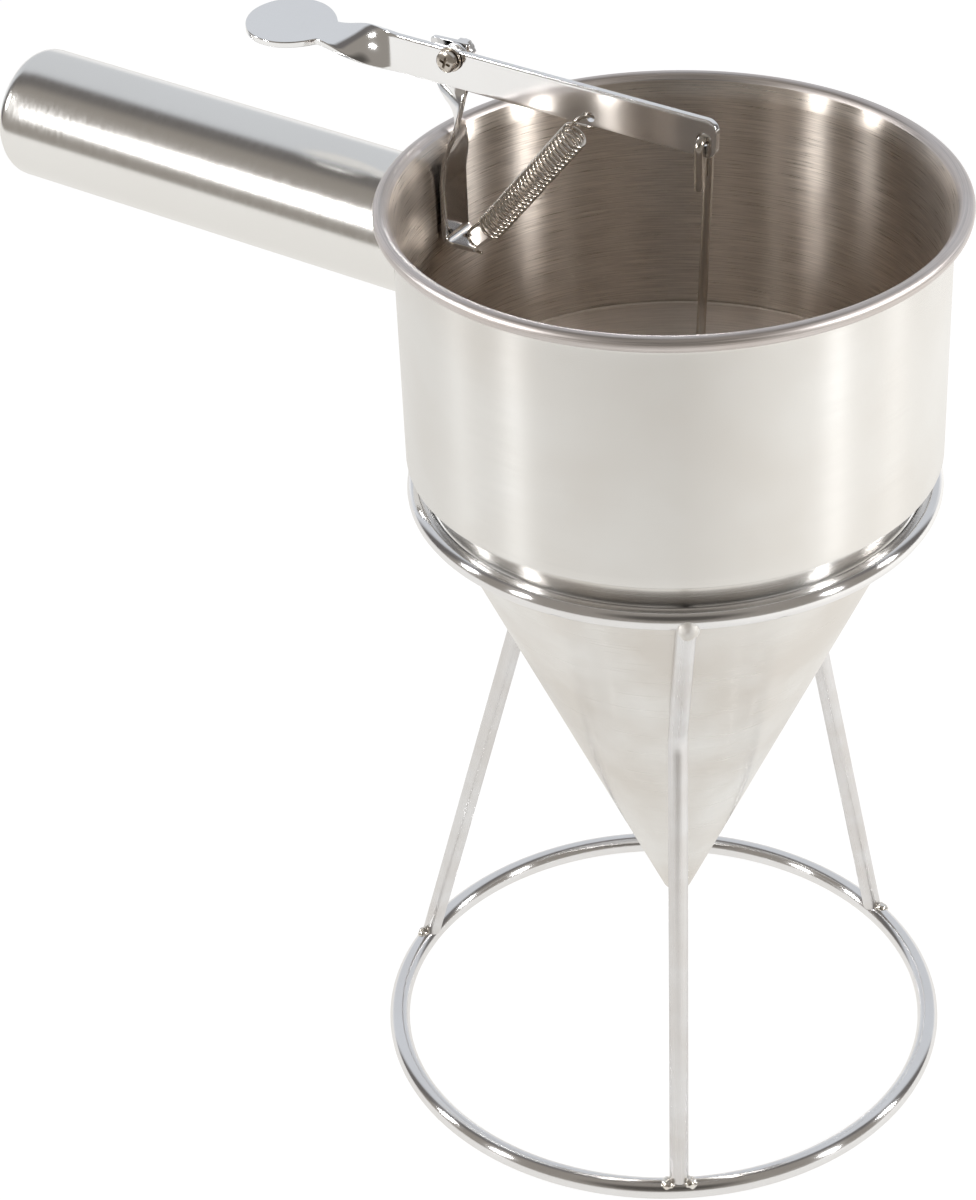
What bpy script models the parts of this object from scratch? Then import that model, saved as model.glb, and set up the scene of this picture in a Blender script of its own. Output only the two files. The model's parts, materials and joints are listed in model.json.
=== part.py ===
"""Fondant funnel on its wire stand, with a sprung lever that lifts the plunger out of the outlet.

Lengths are millimetres until a builder turns them into metres. A place is given as (out, y, z): out is the
distance from the funnel's axis towards the handle, y is sideways and z is up from the table.
"""

import math

import bpy
import numpy as np
from mathutils import Matrix, Vector

MM = 0.001
GAP = 0.3

WALL = 1.0
BOWL_TOP_R = 72.65
BOWL_TAPER = 0.3
BOWL_FOOT_R = BOWL_TOP_R - BOWL_TAPER
BOWL_FOOT_Z = 201.3
BOWL_HEIGHT = 72.5
BEAD_R = 1.74
BEAD_OUT = 3.11
BEAD_ROOT_DROP = 3.5
BEAD_CENTRE_R = BOWL_TOP_R + BEAD_OUT
BEAD_CENTRE_Z = BOWL_FOOT_Z + BOWL_HEIGHT
BEAD_ROOT_Z = BEAD_CENTRE_Z - BEAD_ROOT_DROP

OUTLET_Z = 50.4
OUTLET_R = 4.04
COLLAR_FOOT_UP = 0.2
COLLAR_LAP = 4.7
COLLAR_BEND = 1.6
COLLAR_R = BOWL_FOOT_R - WALL - GAP
COLLAR_FOOT_Z = BOWL_FOOT_Z + COLLAR_FOOT_UP
COLLAR_TOP_Z = BOWL_FOOT_Z + COLLAR_LAP
CONE_SLOPE = (COLLAR_R - OUTLET_R) / (COLLAR_FOOT_Z - OUTLET_Z)
CONE_SLANT = math.sqrt(1 + CONE_SLOPE**2)
CONE_APEX_Z = OUTLET_Z - OUTLET_R / CONE_SLOPE

HANDLE_R = 18.6
HANDLE_UP_BOWL = 44.8
HANDLE_Z = BOWL_FOOT_Z + HANDLE_UP_BOWL
HANDLE_START = BOWL_TOP_R
HANDLE_LENGTH = 141.7
HANDLE_EDGE_R = 4.6
HANDLE_RISE = math.radians(2.6)

PIVOT_INSET = 6.65
PIVOT_RISE = 2.95
PIVOT_OUT = BOWL_TOP_R - PIVOT_INSET
SCREW_R = 1.5
HEAD_R = 2.9
HEAD_HEIGHT = 2.2
WASHER_R = 3.4
WASHER_THICK = 0.5
NUT_FLATS = 5.5
NUT_HEIGHT = 2.4
SCREW_PAST_NUT = 0.6
RECESS_ARM = 1.7
RECESS_WIDTH = 0.6
RECESS_DEPTH = 1.1

ROD_R = 1.25
ROD_HOLE_OUT = -9.6
ROD_HOLE_R = 1.85
ROD_HOLE_DROP = 0.3
ROD_LEG_Y = 3.0
ROD_BEND_R = 2.0
ROD_EASE_R = 20.0
ROD_SHORT_LEG = 13.4

STRIP_HEIGHT = 10.7
STRIP_THICK = 1.8
STRIP_PAST_ROD = 3.8
STRIP_FRONT = ROD_HOLE_OUT - STRIP_PAST_ROD
STRIP_CORNER_R = 3.0
STRIP_CHAMFER = 0.25
STRIP_SLOPE = 0.0402
STRIP_ABOVE_RIM = 20.3
STRIP_Z = BEAD_CENTRE_Z + STRIP_ABOVE_RIM
THUMB_R = 12.2
THUMB_ARM = 52.4
THUMB_OUT = PIVOT_OUT + THUMB_ARM
TWIST_FROM_PIVOT = 16.5
TWIST_TO_THUMB = 11.4
TWIST_START = PIVOT_OUT + TWIST_FROM_PIVOT
TWIST_END = THUMB_OUT - TWIST_TO_THUMB
TWIST_ANGLE = math.radians(85.0)
PIVOT_Z = STRIP_Z + STRIP_SLOPE * PIVOT_OUT + PIVOT_RISE
ROD_HOLE_Z = STRIP_Z + STRIP_SLOPE * ROD_HOLE_OUT - ROD_HOLE_DROP

BRACKET_Y = 3.2
BRACKET_WIDTH = 11.4
BRACKET_THICK = 1.5
PLATE_OUT = (
    math.sqrt((BOWL_TOP_R - WALL) ** 2 - (BRACKET_Y + BRACKET_WIDTH / 2) ** 2) - GAP - BRACKET_THICK / 2
)
TAB_LENGTH = 9.5
TAB_END = PLATE_OUT - TAB_LENGTH
TAB_BELOW_RIM = 28.6
TAB_Z = BEAD_CENTRE_Z - TAB_BELOW_RIM
PLATE_HEIGHT = 17.8
PLATE_TOP_Z = TAB_Z + PLATE_HEIGHT
NECK_IN = 2.5
NECK_OUT = PLATE_OUT - NECK_IN
NECK_HEIGHT = 32.8
NECK_Z = TAB_Z + NECK_HEIGHT
EAR_MARGIN = 2.9
EAR_HEIGHT = 14.6
EAR_OUT = PIVOT_OUT + EAR_MARGIN
EAR_TOP_Z = PIVOT_Z + EAR_MARGIN
EAR_FOOT_Z = EAR_TOP_Z - EAR_HEIGHT
EAR_CORNER_R = 2.6
TURN_HEIGHT = 25.3
TURN_UNDER_TOP = 17.1
TURN_START_Z = TAB_Z + TURN_HEIGHT
TURN_END_Z = EAR_TOP_Z - TURN_UNDER_TOP
CORNER_STEPS = (0.0, 0.1, 0.35, 0.8, 1.5, EAR_CORNER_R)

SPRING_WIRE_R = 0.45
SPRING_COIL_R = 3.5
SPRING_HOOK_R = 3.6
SPRING_TURNS = 26.75
SPRING_NECK_TOP = 1.6
SPRING_NECK_FOOT = 3.0
SPRING_ARM = 42.4
SPRING_HOLE_DROP = 2.85
SPRING_HOLE_OUT = PIVOT_OUT - SPRING_ARM
SPRING_HOLE_Z = STRIP_Z + STRIP_SLOPE * SPRING_HOLE_OUT - SPRING_HOLE_DROP
SPRING_HOLE_R = 1.15
POINTS_A_CURL = 9

TIP_HEIGHT = 15.6
TIP_TOP_Z = OUTLET_Z + TIP_HEIGHT
TIP_BORE = 11.0
ROD_END_Z = TIP_TOP_Z - TIP_BORE
ROD_STRAIGHT_Z = TIP_TOP_Z + 2.0
TIP_NECK_R = 3.0
TIP_OVERHANG = 0.56
TIP_WIDE_R = OUTLET_R + TIP_OVERHANG
TIP_NOSE = 2.2
TIP_NOSE_Z = OUTLET_Z - TIP_NOSE

RING_WIRE_R = 2.9
RING_BELOW_BOWL = 10.7
RING_Z = BOWL_FOOT_Z - RING_BELOW_BOWL
RING_R = (RING_Z - CONE_APEX_Z) * CONE_SLOPE + (RING_WIRE_R + GAP) * CONE_SLANT
BASE_WIRE_R = 3.0
BASE_SPREAD = 10.0
BASE_R = RING_R + BASE_SPREAD
BASE_OFF_X = -4.08  # welded on a little off centre, as photographed
BASE_OFF_Y = -2.36
LEG_R = 2.7
LEG_BEND_Z = 137.9
LEG_FROM_CONE = 4.36
LEG_BEND_R_OUT = (LEG_BEND_Z - CONE_APEX_Z) * CONE_SLOPE + LEG_FROM_CONE
LEG_BEND_R = 9.0
LEG_TURNS = {  # azimuth in degrees of the top, the bend and the foot (the foot about the base ring)
    "stand_leg_front": (-57.4, -59.4, -56.7),
    "stand_leg_left": (184.3, 184.3, 185.5),
    "stand_leg_right": (68.3, 68.3, 64.2),
}

ROUND_STEPS = 64
RING_STEPS = 72

HANDLE_TIP = HANDLE_START + HANDLE_LENGTH * math.cos(HANDLE_RISE) + HANDLE_R * math.sin(HANDLE_RISE) * 0.75
BASE_REACH = BASE_R + BASE_WIRE_R
AXIS_X = (HANDLE_TIP - (BASE_OFF_X + BASE_REACH)) / 2
AXIS_Y = -BASE_OFF_Y

STEEL = (0.62, 0.60, 0.57, 1.0)


def spot(out, y, z):
    """A place in world metres."""
    return Vector(((AXIS_X - out) * MM, (AXIS_Y + y) * MM, z * MM))


def shown_material(name, colour, metallic, roughness):
    made = bpy.data.materials.new(name)
    made.use_nodes = True
    shader = made.node_tree.nodes["Principled BSDF"]
    shader.inputs["Base Color"].default_value = colour
    shader.inputs["Metallic"].default_value = metallic
    shader.inputs["Roughness"].default_value = roughness
    return made


def keep(obj, roughness, colour=STEEL, metallic=1.0):
    """Puts a finished piece with the parts and gives it its own material."""
    obj.data.materials.append(shown_material("mat_" + obj.name, colour, metallic, roughness))
    PARTS.objects.link(obj)
    return obj


def as_cutter(obj):
    obj.hide_render = True
    obj.display_type = "WIRE"
    CUTTERS.objects.link(obj)
    return obj


def turned(name, profile, steps, origin, rotation=(0.0, 0.0, 0.0), closed=False, smooth=True):
    """A profile of (radius, height) turned about its own Z axis. It runs down the outer side."""
    edges = [(i, i + 1) for i in range(len(profile) - 1)]
    if closed:
        edges.append((len(profile) - 1, 0))
    mesh = bpy.data.meshes.new(name)
    mesh.from_pydata([(r * MM, 0.0, z * MM) for r, z in profile], edges, [])
    obj = bpy.data.objects.new(name, mesh)
    obj.location = origin
    obj.rotation_euler = rotation
    turn = obj.modifiers.new("turn", "SCREW")
    turn.steps = steps
    turn.render_steps = steps
    turn.use_merge_vertices = True
    turn.merge_threshold = 0.00005
    turn.use_smooth_shade = smooth
    return obj


def cut(obj, cutter):
    taken = obj.modifiers.new("cut_" + cutter.name, "BOOLEAN")
    taken.operation = "DIFFERENCE"
    taken.solver = "EXACT"
    taken.object = cutter


def hole_cutter(name, place, radius, reach, axis):
    """A round bar along Y or Z for a hole."""
    profile = [(0.0, reach), (radius, reach), (radius, -reach), (0.0, -reach)]
    rotation = (math.pi / 2, 0.0, 0.0) if axis == "Y" else (0.0, 0.0, 0.0)
    return as_cutter(turned(name, profile, 20, place, rotation))


def wire(name, places, radius, origin, resolution=2):
    """A round wire through the places, with closed ends."""
    curve = bpy.data.curves.new(name, "CURVE")
    curve.dimensions = "3D"
    curve.bevel_depth = radius * MM
    curve.bevel_resolution = resolution
    curve.use_fill_caps = True
    line = curve.splines.new("POLY")
    line.points.add(len(places) - 1)
    for point, place in zip(line.points, places):
        point.co = (*(place - origin), 1.0)
    line.use_smooth = True
    obj = bpy.data.objects.new(name, curve)
    obj.location = origin
    return obj


def bent(corners, radii, count):
    """The corners of a path, with each inner one rounded to its radius by count + 1 places."""
    path = [corners[0]]
    for before, corner, after, radius in zip(corners, corners[1:], corners[2:], radii):
        arrive = (corner - before).normalized()
        leave = (after - corner).normalized()
        half = arrive.angle(leave) / 2
        centre = corner + (leave - arrive).normalized() * (radius / math.cos(half))
        first = (corner - arrive * (radius * math.tan(half)) - centre).normalized()
        last = (corner + leave * (radius * math.tan(half)) - centre).normalized()
        path += [centre + first.slerp(last, i / count) * radius for i in range(count + 1)]
    path.append(corners[-1])
    return path


def lofted(name, stations, half_thick, origin):
    """A flat strip with softened edges through stations of (centre, width direction, face direction, half width)."""
    points = []
    for centre, width, face, half_width in stations:
        soft = min(STRIP_CHAMFER, half_width * 0.4)
        w, t = half_width, half_thick
        ring = [
            (w, t - soft), (w - soft, t), (soft - w, t), (-w, t - soft),
            (-w, soft - t), (soft - w, -t), (w - soft, -t), (w, soft - t),
        ]
        points += [(centre + width * a + face * b) * MM - origin for a, b in ring]
    count = len(stations)
    faces = [tuple(range(8))[::-1], tuple(range(8 * count - 8, 8 * count))]
    for i in range(count - 1):
        for k in range(8):
            n = (k + 1) % 8
            faces.append((8 * i + k, 8 * i + n, 8 * i + 8 + n, 8 * i + 8 + k))
    mesh = bpy.data.meshes.new(name)
    mesh.from_pydata(points, [], faces)
    obj = bpy.data.objects.new(name, mesh)
    obj.location = origin
    return obj


def eased(value, start, end):
    t = min(max((value - start) / (end - start), 0.0), 1.0)
    return t * t * (3 - 2 * t)


def in_mm(out, y, z):
    return Vector((AXIS_X - out, AXIS_Y + y, z))


def build_bowl():
    """Wall with a rolled bead at the rim, open below."""
    inner_top = BOWL_TOP_R - WALL
    inner_foot = BOWL_FOOT_R - WALL
    bead = []
    for turn in np.linspace(112, -150, 12):
        a = math.radians(float(turn))
        bead.append((BEAD_CENTRE_R + BEAD_R * math.cos(a), BEAD_CENTRE_Z + BEAD_R * math.sin(a)))
    profile = bead + [
        (BOWL_TOP_R + 0.35, BEAD_ROOT_Z + 0.5),
        (BOWL_TOP_R, BEAD_ROOT_Z - 0.6),
        ((BOWL_TOP_R + BOWL_FOOT_R) / 2, (BEAD_ROOT_Z + BOWL_FOOT_Z) / 2),
        (BOWL_FOOT_R, BOWL_FOOT_Z + 0.5),
        (BOWL_FOOT_R - 0.35, BOWL_FOOT_Z),
        (inner_foot + 0.1, BOWL_FOOT_Z),
        (inner_foot, BOWL_FOOT_Z + 0.2),
        ((inner_top + inner_foot) / 2, (BEAD_ROOT_Z + BOWL_FOOT_Z) / 2),
        (inner_top, BEAD_ROOT_Z - 0.8),
        (inner_top + 0.35, BEAD_ROOT_Z + 1.2),
        (inner_top + 1.25, BEAD_ROOT_Z + 3.2),
        (inner_top + 2.3, BEAD_ROOT_Z + 4.5),
    ]
    keep(turned("bowl", profile, ROUND_STEPS, spot(0, 0, 0), closed=True), 0.12)


def cone_outer_r(z):
    return (z - CONE_APEX_Z) * CONE_SLOPE


def cone_inner_r(z):
    return cone_outer_r(z) - WALL * CONE_SLANT


def build_cone():
    """Cone with a short collar that laps inside the bowl's foot."""
    collar = COLLAR_R
    bend_z = COLLAR_FOOT_Z
    inner_bend_z = CONE_APEX_Z + (collar - WALL + WALL * CONE_SLANT) / CONE_SLOPE
    low = COLLAR_BEND * 1.4
    middle_z = (OUTLET_Z + COLLAR_FOOT_Z) / 2
    profile = [
        (collar - 0.25, COLLAR_TOP_Z),
        (collar, COLLAR_TOP_Z - 0.25),
        (collar, bend_z + COLLAR_BEND),
        (collar - 0.16, bend_z + 0.2),
        (cone_outer_r(bend_z - low), bend_z - low),
        (cone_outer_r(middle_z), middle_z),
        (cone_outer_r(OUTLET_Z), OUTLET_Z),
        (cone_inner_r(OUTLET_Z), OUTLET_Z),
        (cone_inner_r(middle_z), middle_z),
        (cone_inner_r(inner_bend_z - low), inner_bend_z - low),
        (collar - WALL - 0.16, inner_bend_z + 0.2),
        (collar - WALL, inner_bend_z + COLLAR_BEND),
        (collar - WALL, COLLAR_TOP_Z - 0.25),
        (collar - WALL + 0.25, COLLAR_TOP_Z),
    ]
    keep(turned("cone_spout", profile, ROUND_STEPS, spot(0, 0, 0), closed=True), 0.25)


def build_handle():
    """Hollow round handle, closed and rounded outside, cut to the bowl's curve at its root."""
    profile = [(0.0, HANDLE_LENGTH)]
    for i in range(7):
        a = math.radians(90 - 15 * i)
        profile.append((
            HANDLE_R - HANDLE_EDGE_R * (1 - math.cos(a)),
            HANDLE_LENGTH - HANDLE_EDGE_R * (1 - math.sin(a)),
        ))
    middle, root = HANDLE_LENGTH / 2, -HANDLE_R / 2
    inner_r = HANDLE_R - WALL
    profile += [(HANDLE_R, middle), (HANDLE_R, root), (inner_r, root), (inner_r, middle)]
    inner_edge = HANDLE_EDGE_R - WALL
    for i in range(5):
        a = math.radians(22.5 * i)
        profile.append((
            inner_r - inner_edge * (1 - math.cos(a)),
            HANDLE_LENGTH - WALL - inner_edge * (1 - math.sin(a)),
        ))
    profile.append((0.0, HANDLE_LENGTH - WALL))
    aim = (0.0, HANDLE_RISE - math.pi / 2, 0.0)
    handle = turned("handle_tube", profile, 48, spot(HANDLE_START, 0, HANDLE_Z), aim)
    saddle_r = BOWL_TOP_R + GAP
    high, low = HANDLE_Z + 1.5 * HANDLE_R, HANDLE_Z - 1.5 * HANDLE_R
    saddle = [(0.0, high), (saddle_r, high), (saddle_r, low), (0.0, low)]
    cut(handle, as_cutter(turned("saddle_cutter", saddle, 128, spot(0, 0, 0))))
    keep(handle, 0.06)


def strip_centre(out):
    return STRIP_Z + STRIP_SLOPE * out


def lever_half_width(out):
    half = STRIP_HEIGHT / 2
    from_front = out - STRIP_FRONT
    if from_front < STRIP_CORNER_R:
        drop = STRIP_CORNER_R - from_front
        return half - STRIP_CORNER_R + math.sqrt(max(STRIP_CORNER_R**2 - drop**2, 0.0))
    fading = half * (1 - eased(out, THUMB_OUT - THUMB_R, THUMB_OUT - 1.5))
    inside = THUMB_R**2 - (out - THUMB_OUT) ** 2
    disc = math.sqrt(inside) if inside > 0 else 0.0
    return (fading**3 + disc**3) ** (1 / 3)


def build_lever():
    """Strip on edge that twists flat into the round thumb plate. The loft is the piece that takes most care."""
    along = [STRIP_FRONT + s for s in (0.0, 0.12, 0.45, 0.9, 1.6, STRIP_CORNER_R)]
    along += [(STRIP_FRONT + TWIST_START) / 2, TWIST_START]
    along += list(np.linspace(TWIST_START, THUMB_OUT - THUMB_R, 17)[1:])
    along += [THUMB_OUT - THUMB_R * math.cos(math.radians(a)) for a in range(20, 176, 8)]
    along.append(THUMB_OUT + THUMB_R * math.cos(math.radians(3.0)))
    rise = Vector((-1.0, 0.0, STRIP_SLOPE)).normalized()
    up = Vector((STRIP_SLOPE, 0.0, 1.0)).normalized()
    side = Vector((0.0, 1.0, 0.0))
    stations = []
    for out in along:
        turn = TWIST_ANGLE * eased(out, TWIST_START, TWIST_END)
        width = up * math.cos(turn) + side * math.sin(turn)
        face = rise.cross(width)
        stations.append((in_mm(out, 0, strip_centre(out)), width, face, lever_half_width(out)))
    pivot = spot(PIVOT_OUT, 0, PIVOT_Z)
    lever = lofted("lever", stations, STRIP_THICK / 2, pivot)
    cut(lever, hole_cutter("lever_pivot_hole", pivot, SCREW_R + GAP, 3.0, "Y"))
    spring_hole = spot(SPRING_HOLE_OUT, 0, SPRING_HOLE_Z)
    cut(lever, hole_cutter("lever_spring_hole", spring_hole, SPRING_HOLE_R, 3.0, "Y"))
    rod_hole = spot(ROD_HOLE_OUT, 0, ROD_HOLE_Z)
    cut(lever, hole_cutter("lever_rod_hole", rod_hole, ROD_HOLE_R, 3.0, "Y"))
    keep(lever, 0.08)


def build_bracket():
    """One strip: foot tab, plate up the wall, quarter twist and the ear that holds the pivot."""
    corners = [
        in_mm(TAB_END, BRACKET_Y, TAB_Z),
        in_mm(PLATE_OUT, BRACKET_Y, TAB_Z),
        in_mm(PLATE_OUT, BRACKET_Y, PLATE_TOP_Z),
        in_mm(NECK_OUT, BRACKET_Y, NECK_Z),
        in_mm(EAR_OUT, BRACKET_Y, EAR_FOOT_Z),
        in_mm(EAR_OUT, BRACKET_Y, EAR_TOP_Z),
    ]
    path = bent(corners, (2.4, 14.0, 14.0, 14.0), 5)
    foot, top = path[0], path[-1]
    fine = [foot + (path[1] - foot).normalized() * step for step in CORNER_STEPS]
    for start, end in zip(path[1:], path[2:]):
        pieces = math.ceil((end - start).length / 1.3) if end.z > TURN_START_Z else 1
        fine += [start.lerp(end, i / pieces) for i in range(pieces)]
    while (top - fine[-1]).length < EAR_CORNER_R + 0.5:
        fine.pop()
    fine += [top + (path[-2] - top).normalized() * step for step in reversed(CORNER_STEPS)]
    stations = []
    side = Vector((0.0, 1.0, 0.0))
    for i, centre in enumerate(fine):
        before, after = fine[max(i - 1, 0)], fine[min(i + 1, len(fine) - 1)]
        ahead = (after - before).normalized()
        outward = side.cross(ahead) * -1
        turn = math.pi / 2 * eased(centre.z, TURN_START_Z, TURN_END_Z)
        width = side * math.cos(turn) + outward * math.sin(turn)
        face = ahead.cross(width)
        to_end = min((centre - foot).length, (centre - top).length)
        half = BRACKET_WIDTH / 2
        if to_end < EAR_CORNER_R:
            half += math.sqrt(EAR_CORNER_R**2 - (EAR_CORNER_R - to_end) ** 2) - EAR_CORNER_R
        stations.append((centre, width, face, half))
    bracket = lofted("lever_bracket", stations, BRACKET_THICK / 2, spot(PLATE_OUT, BRACKET_Y, TAB_Z))
    ear = spot(PIVOT_OUT, BRACKET_Y, PIVOT_Z)
    cut(bracket, hole_cutter("ear_hole", ear, SCREW_R + GAP, 3.0, "Y"))
    cut(bracket, hole_cutter("tab_hole", spot(*lower_ring_reach()), SPRING_HOLE_R, 3.0, "Z"))
    keep(bracket, 0.15)


def lower_ring_centre():
    """Middle of the spring's lower hook, whose wire goes straight down through the tab."""
    return in_mm(TAB_END + SPRING_HOOK_R - SPRING_WIRE_R - GAP - 0.8, BRACKET_Y, TAB_Z)


def lower_ring_reach():
    return (AXIS_X - lower_ring_centre().x + SPRING_HOOK_R, BRACKET_Y, TAB_Z)


def hook(centre, side, on, radius, degrees, count):
    """Places round a hook that starts at its side and goes on over the far end."""
    angles = np.radians(np.linspace(0, degrees, count))
    places = [centre + side * (radius * math.cos(a)) + on * (radius * math.sin(a)) for a in angles]
    ahead = (places[-1] - places[-2]).normalized()
    places.append(places[-1] + ahead * (2 * SPRING_WIRE_R))
    return places


def join(start, start_way, end, end_way, count):
    """A smooth line between two places with their directions, without its ends."""
    reach = (end - start).length
    a, b = start_way * reach, end_way * reach
    places = []
    for t in np.linspace(0, 1, count + 2)[1:-1]:
        h = (2 * t**3 - 3 * t**2 + 1, t**3 - 2 * t**2 + t, 3 * t**2 - 2 * t**3, t**3 - t**2)
        places.append(start * h[0] + a * h[1] + end * h[2] + b * h[3])
    return places


def build_spring():
    """A close helix with a hook at each end: the upper one crosses the strip, the lower one the tab."""
    hole = in_mm(SPRING_HOLE_OUT, 0, SPRING_HOLE_Z)
    foot_centre = lower_ring_centre()
    down = (foot_centre - hole).normalized()
    across = Vector((0.0, 1.0, 0.0))
    across = (across - down * across.dot(down)).normalized()
    plane = down.cross(across)
    upper_centre = hole + down * SPRING_HOOK_R
    top = upper_centre + down * (SPRING_HOOK_R + SPRING_NECK_TOP)
    foot = foot_centre - down * (SPRING_HOOK_R + SPRING_NECK_FOOT)
    length = (foot - top).length
    total = round(SPRING_TURNS * POINTS_A_CURL)
    turns = np.linspace(0, SPRING_TURNS, total + 1)
    coil = []
    ways = []
    for turn in turns:
        a = 2 * math.pi * float(turn) + math.pi
        round_way = plane * math.cos(a) + across * math.sin(a)
        coil.append(top + down * (length * float(turn) / SPRING_TURNS) + round_way * SPRING_COIL_R)
        ways.append(across * math.cos(a) - plane * math.sin(a))
    upper = hook(upper_centre, across, -down, SPRING_HOOK_R, 250, 14)
    upper_join = join(coil[0], -ways[0], upper[0], -down, 4)
    lower_side = plane if plane.z > 0 else -plane
    lower = hook(foot_centre, lower_side, down, SPRING_HOOK_R, 250, 14)
    lower_join = join(coil[-1], ways[-1], lower[0], down, 5)
    places = upper[::-1] + upper_join[::-1] + coil + lower_join + lower
    line = np.array([tuple(p) for p in places])
    apart = np.linalg.norm(line[:, None] - line[None, :], axis=2)
    steps = np.concatenate([[0.0], np.cumsum(np.linalg.norm(np.diff(line, axis=0), axis=1))])
    far = np.abs(steps[:, None] - steps[None, :]) > 6.0
    print("spring: least gap to itself", round(float(apart[far].min()) - 2 * SPRING_WIRE_R, 2), "mm")
    origin = spot(SPRING_HOLE_OUT, 0, SPRING_HOLE_Z)
    keep(wire("return_spring", [p * MM for p in places], SPRING_WIRE_R, origin, 1), 0.2)


def build_pivot():
    """Screw, washer, spacer and nut along the pivot's axis. The head is on the near side."""
    pivot = spot(PIVOT_OUT, 0, PIVOT_Z)
    aim = (math.pi / 2, 0.0, 0.0)
    strip_face = STRIP_THICK / 2
    washer_foot = strip_face + GAP
    head_foot = washer_foot + WASHER_THICK + GAP
    head_top = head_foot + HEAD_HEIGHT
    ear_face = BRACKET_Y - BRACKET_THICK / 2
    ear_back = BRACKET_Y + BRACKET_THICK / 2
    nut_foot = ear_back + GAP
    screw_end = nut_foot + NUT_HEIGHT + SCREW_PAST_NUT
    profile = [
        (0.0, head_top), (1.5, head_top), (2.3, head_top - 0.25), (HEAD_R - 0.1, head_top - 0.9),
        (HEAD_R, head_top - 1.4), (HEAD_R, head_foot), (SCREW_R, head_foot), (SCREW_R, -screw_end + 0.3),
        (SCREW_R - 0.3, -screw_end), (0.0, -screw_end),
    ]
    screw = turned("pivot_screw", profile, 24, pivot, aim)
    for k, name in enumerate(("recess_one", "recess_two")):
        half = Vector((RECESS_ARM, RECESS_WIDTH / 2, RECESS_DEPTH)) * MM
        box = bpy.data.meshes.new(name)
        signs = [(a, b, c) for a in (-1, 1) for b in (-1, 1) for c in (-1, 1)]
        quads = [(0, 1, 3, 2), (4, 6, 7, 5), (0, 4, 5, 1), (2, 3, 7, 6), (0, 2, 6, 4), (1, 5, 7, 3)]
        box.from_pydata([(half.x * a, half.y * b, half.z * c) for a, b, c in signs], [], quads)
        cutter = as_cutter(bpy.data.objects.new(name, box))
        turn = Matrix.Rotation(math.radians(20 + 90 * k), 4, "Z")
        cutter.matrix_world = Matrix.Translation(pivot + Vector((0.0, -head_top * MM, 0.0))) @ (
            Matrix.Rotation(math.pi / 2, 4, "X") @ turn
        )
        cut(screw, cutter)
    keep(screw, 0.15)
    rings = (
        ("screw_washer", washer_foot + WASHER_THICK, washer_foot),
        ("spacer_washer", -washer_foot, GAP - ear_face),
    )
    for name, high, low in rings:
        edge = 0.12
        section = [
            (WASHER_R - edge, high), (WASHER_R, high - edge), (WASHER_R, low + edge),
            (WASHER_R - edge, low), (SCREW_R + GAP, low), (SCREW_R + GAP, high),
        ]
        keep(turned(name, section, 32, pivot, aim, closed=True), 0.2)
    corner = NUT_FLATS / 2 / math.cos(math.pi / 6)
    soft = 0.35
    nut = turned("pivot_nut", [
        (0.0, -nut_foot), (corner - soft, -nut_foot), (corner, -nut_foot - soft),
        (corner, -nut_foot - NUT_HEIGHT + soft), (corner - soft, -nut_foot - NUT_HEIGHT),
        (0.0, -nut_foot - NUT_HEIGHT),
    ], 6, pivot, aim, smooth=False)
    cut(nut, hole_cutter("nut_hole", spot(PIVOT_OUT, ear_back, PIVOT_Z), SCREW_R + GAP, 4.0, "Y"))
    keep(nut, 0.2)


def build_plunger():
    """Rod hooked through the strip's front hole, and the stopper on its foot."""
    origin = spot(ROD_HOLE_OUT, 0, ROD_HOLE_Z)
    corners = [
        in_mm(ROD_HOLE_OUT, -ROD_LEG_Y, ROD_HOLE_Z - ROD_SHORT_LEG),
        in_mm(ROD_HOLE_OUT, -ROD_LEG_Y, ROD_HOLE_Z),
        in_mm(ROD_HOLE_OUT, ROD_LEG_Y, ROD_HOLE_Z),
        in_mm(0, 0, ROD_STRAIGHT_Z),
        in_mm(0, 0, ROD_END_Z),
    ]
    path = bent(corners, (ROD_BEND_R, ROD_BEND_R, ROD_EASE_R), 6)
    rod = keep(wire("plunger_rod", [p * MM for p in path], ROD_R, origin), 0.1)
    bore = ROD_R + GAP
    seat = GAP * CONE_SLANT + 0.03
    wide_z = CONE_APEX_Z + (TIP_WIDE_R + seat + WALL * CONE_SLANT) / CONE_SLOPE
    profile = [
        (0.0, ROD_END_Z - GAP), (bore, ROD_END_Z - GAP), (bore, TIP_TOP_Z), (TIP_NECK_R - 0.4, TIP_TOP_Z),
        (TIP_NECK_R, TIP_TOP_Z - 0.4), (TIP_NECK_R, wide_z + 4.5), (TIP_WIDE_R - 0.3, wide_z + 1.6),
        (TIP_WIDE_R, wide_z + 1.0), (TIP_WIDE_R, wide_z + 0.1),
        (cone_inner_r(OUTLET_Z) - seat, OUTLET_Z), (2.0, OUTLET_Z - 1.2), (1.1, TIP_NOSE_Z + 0.3),
        (0.0, TIP_NOSE_Z),
    ]
    tip = keep(turned("plunger_tip", profile, 32, spot(0, 0, 0)), 0.3)
    hang = bpy.data.objects.new("plunger_pivot", None)
    hang.location = origin
    PARTS.objects.link(hang)
    for piece in (rod, tip):
        piece.parent = hang
        piece.matrix_parent_inverse = Matrix.Translation(-origin)


def ring_section(radius, wire_r, z):
    """Twelve sides with a flat one below, run from the outer side down."""
    reach = wire_r / math.cos(math.pi / 12)
    angles = [math.radians(75 - 30 * k) for k in range(12)]
    return [(radius + reach * math.cos(a), z + reach * math.sin(a)) for a in angles]


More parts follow.
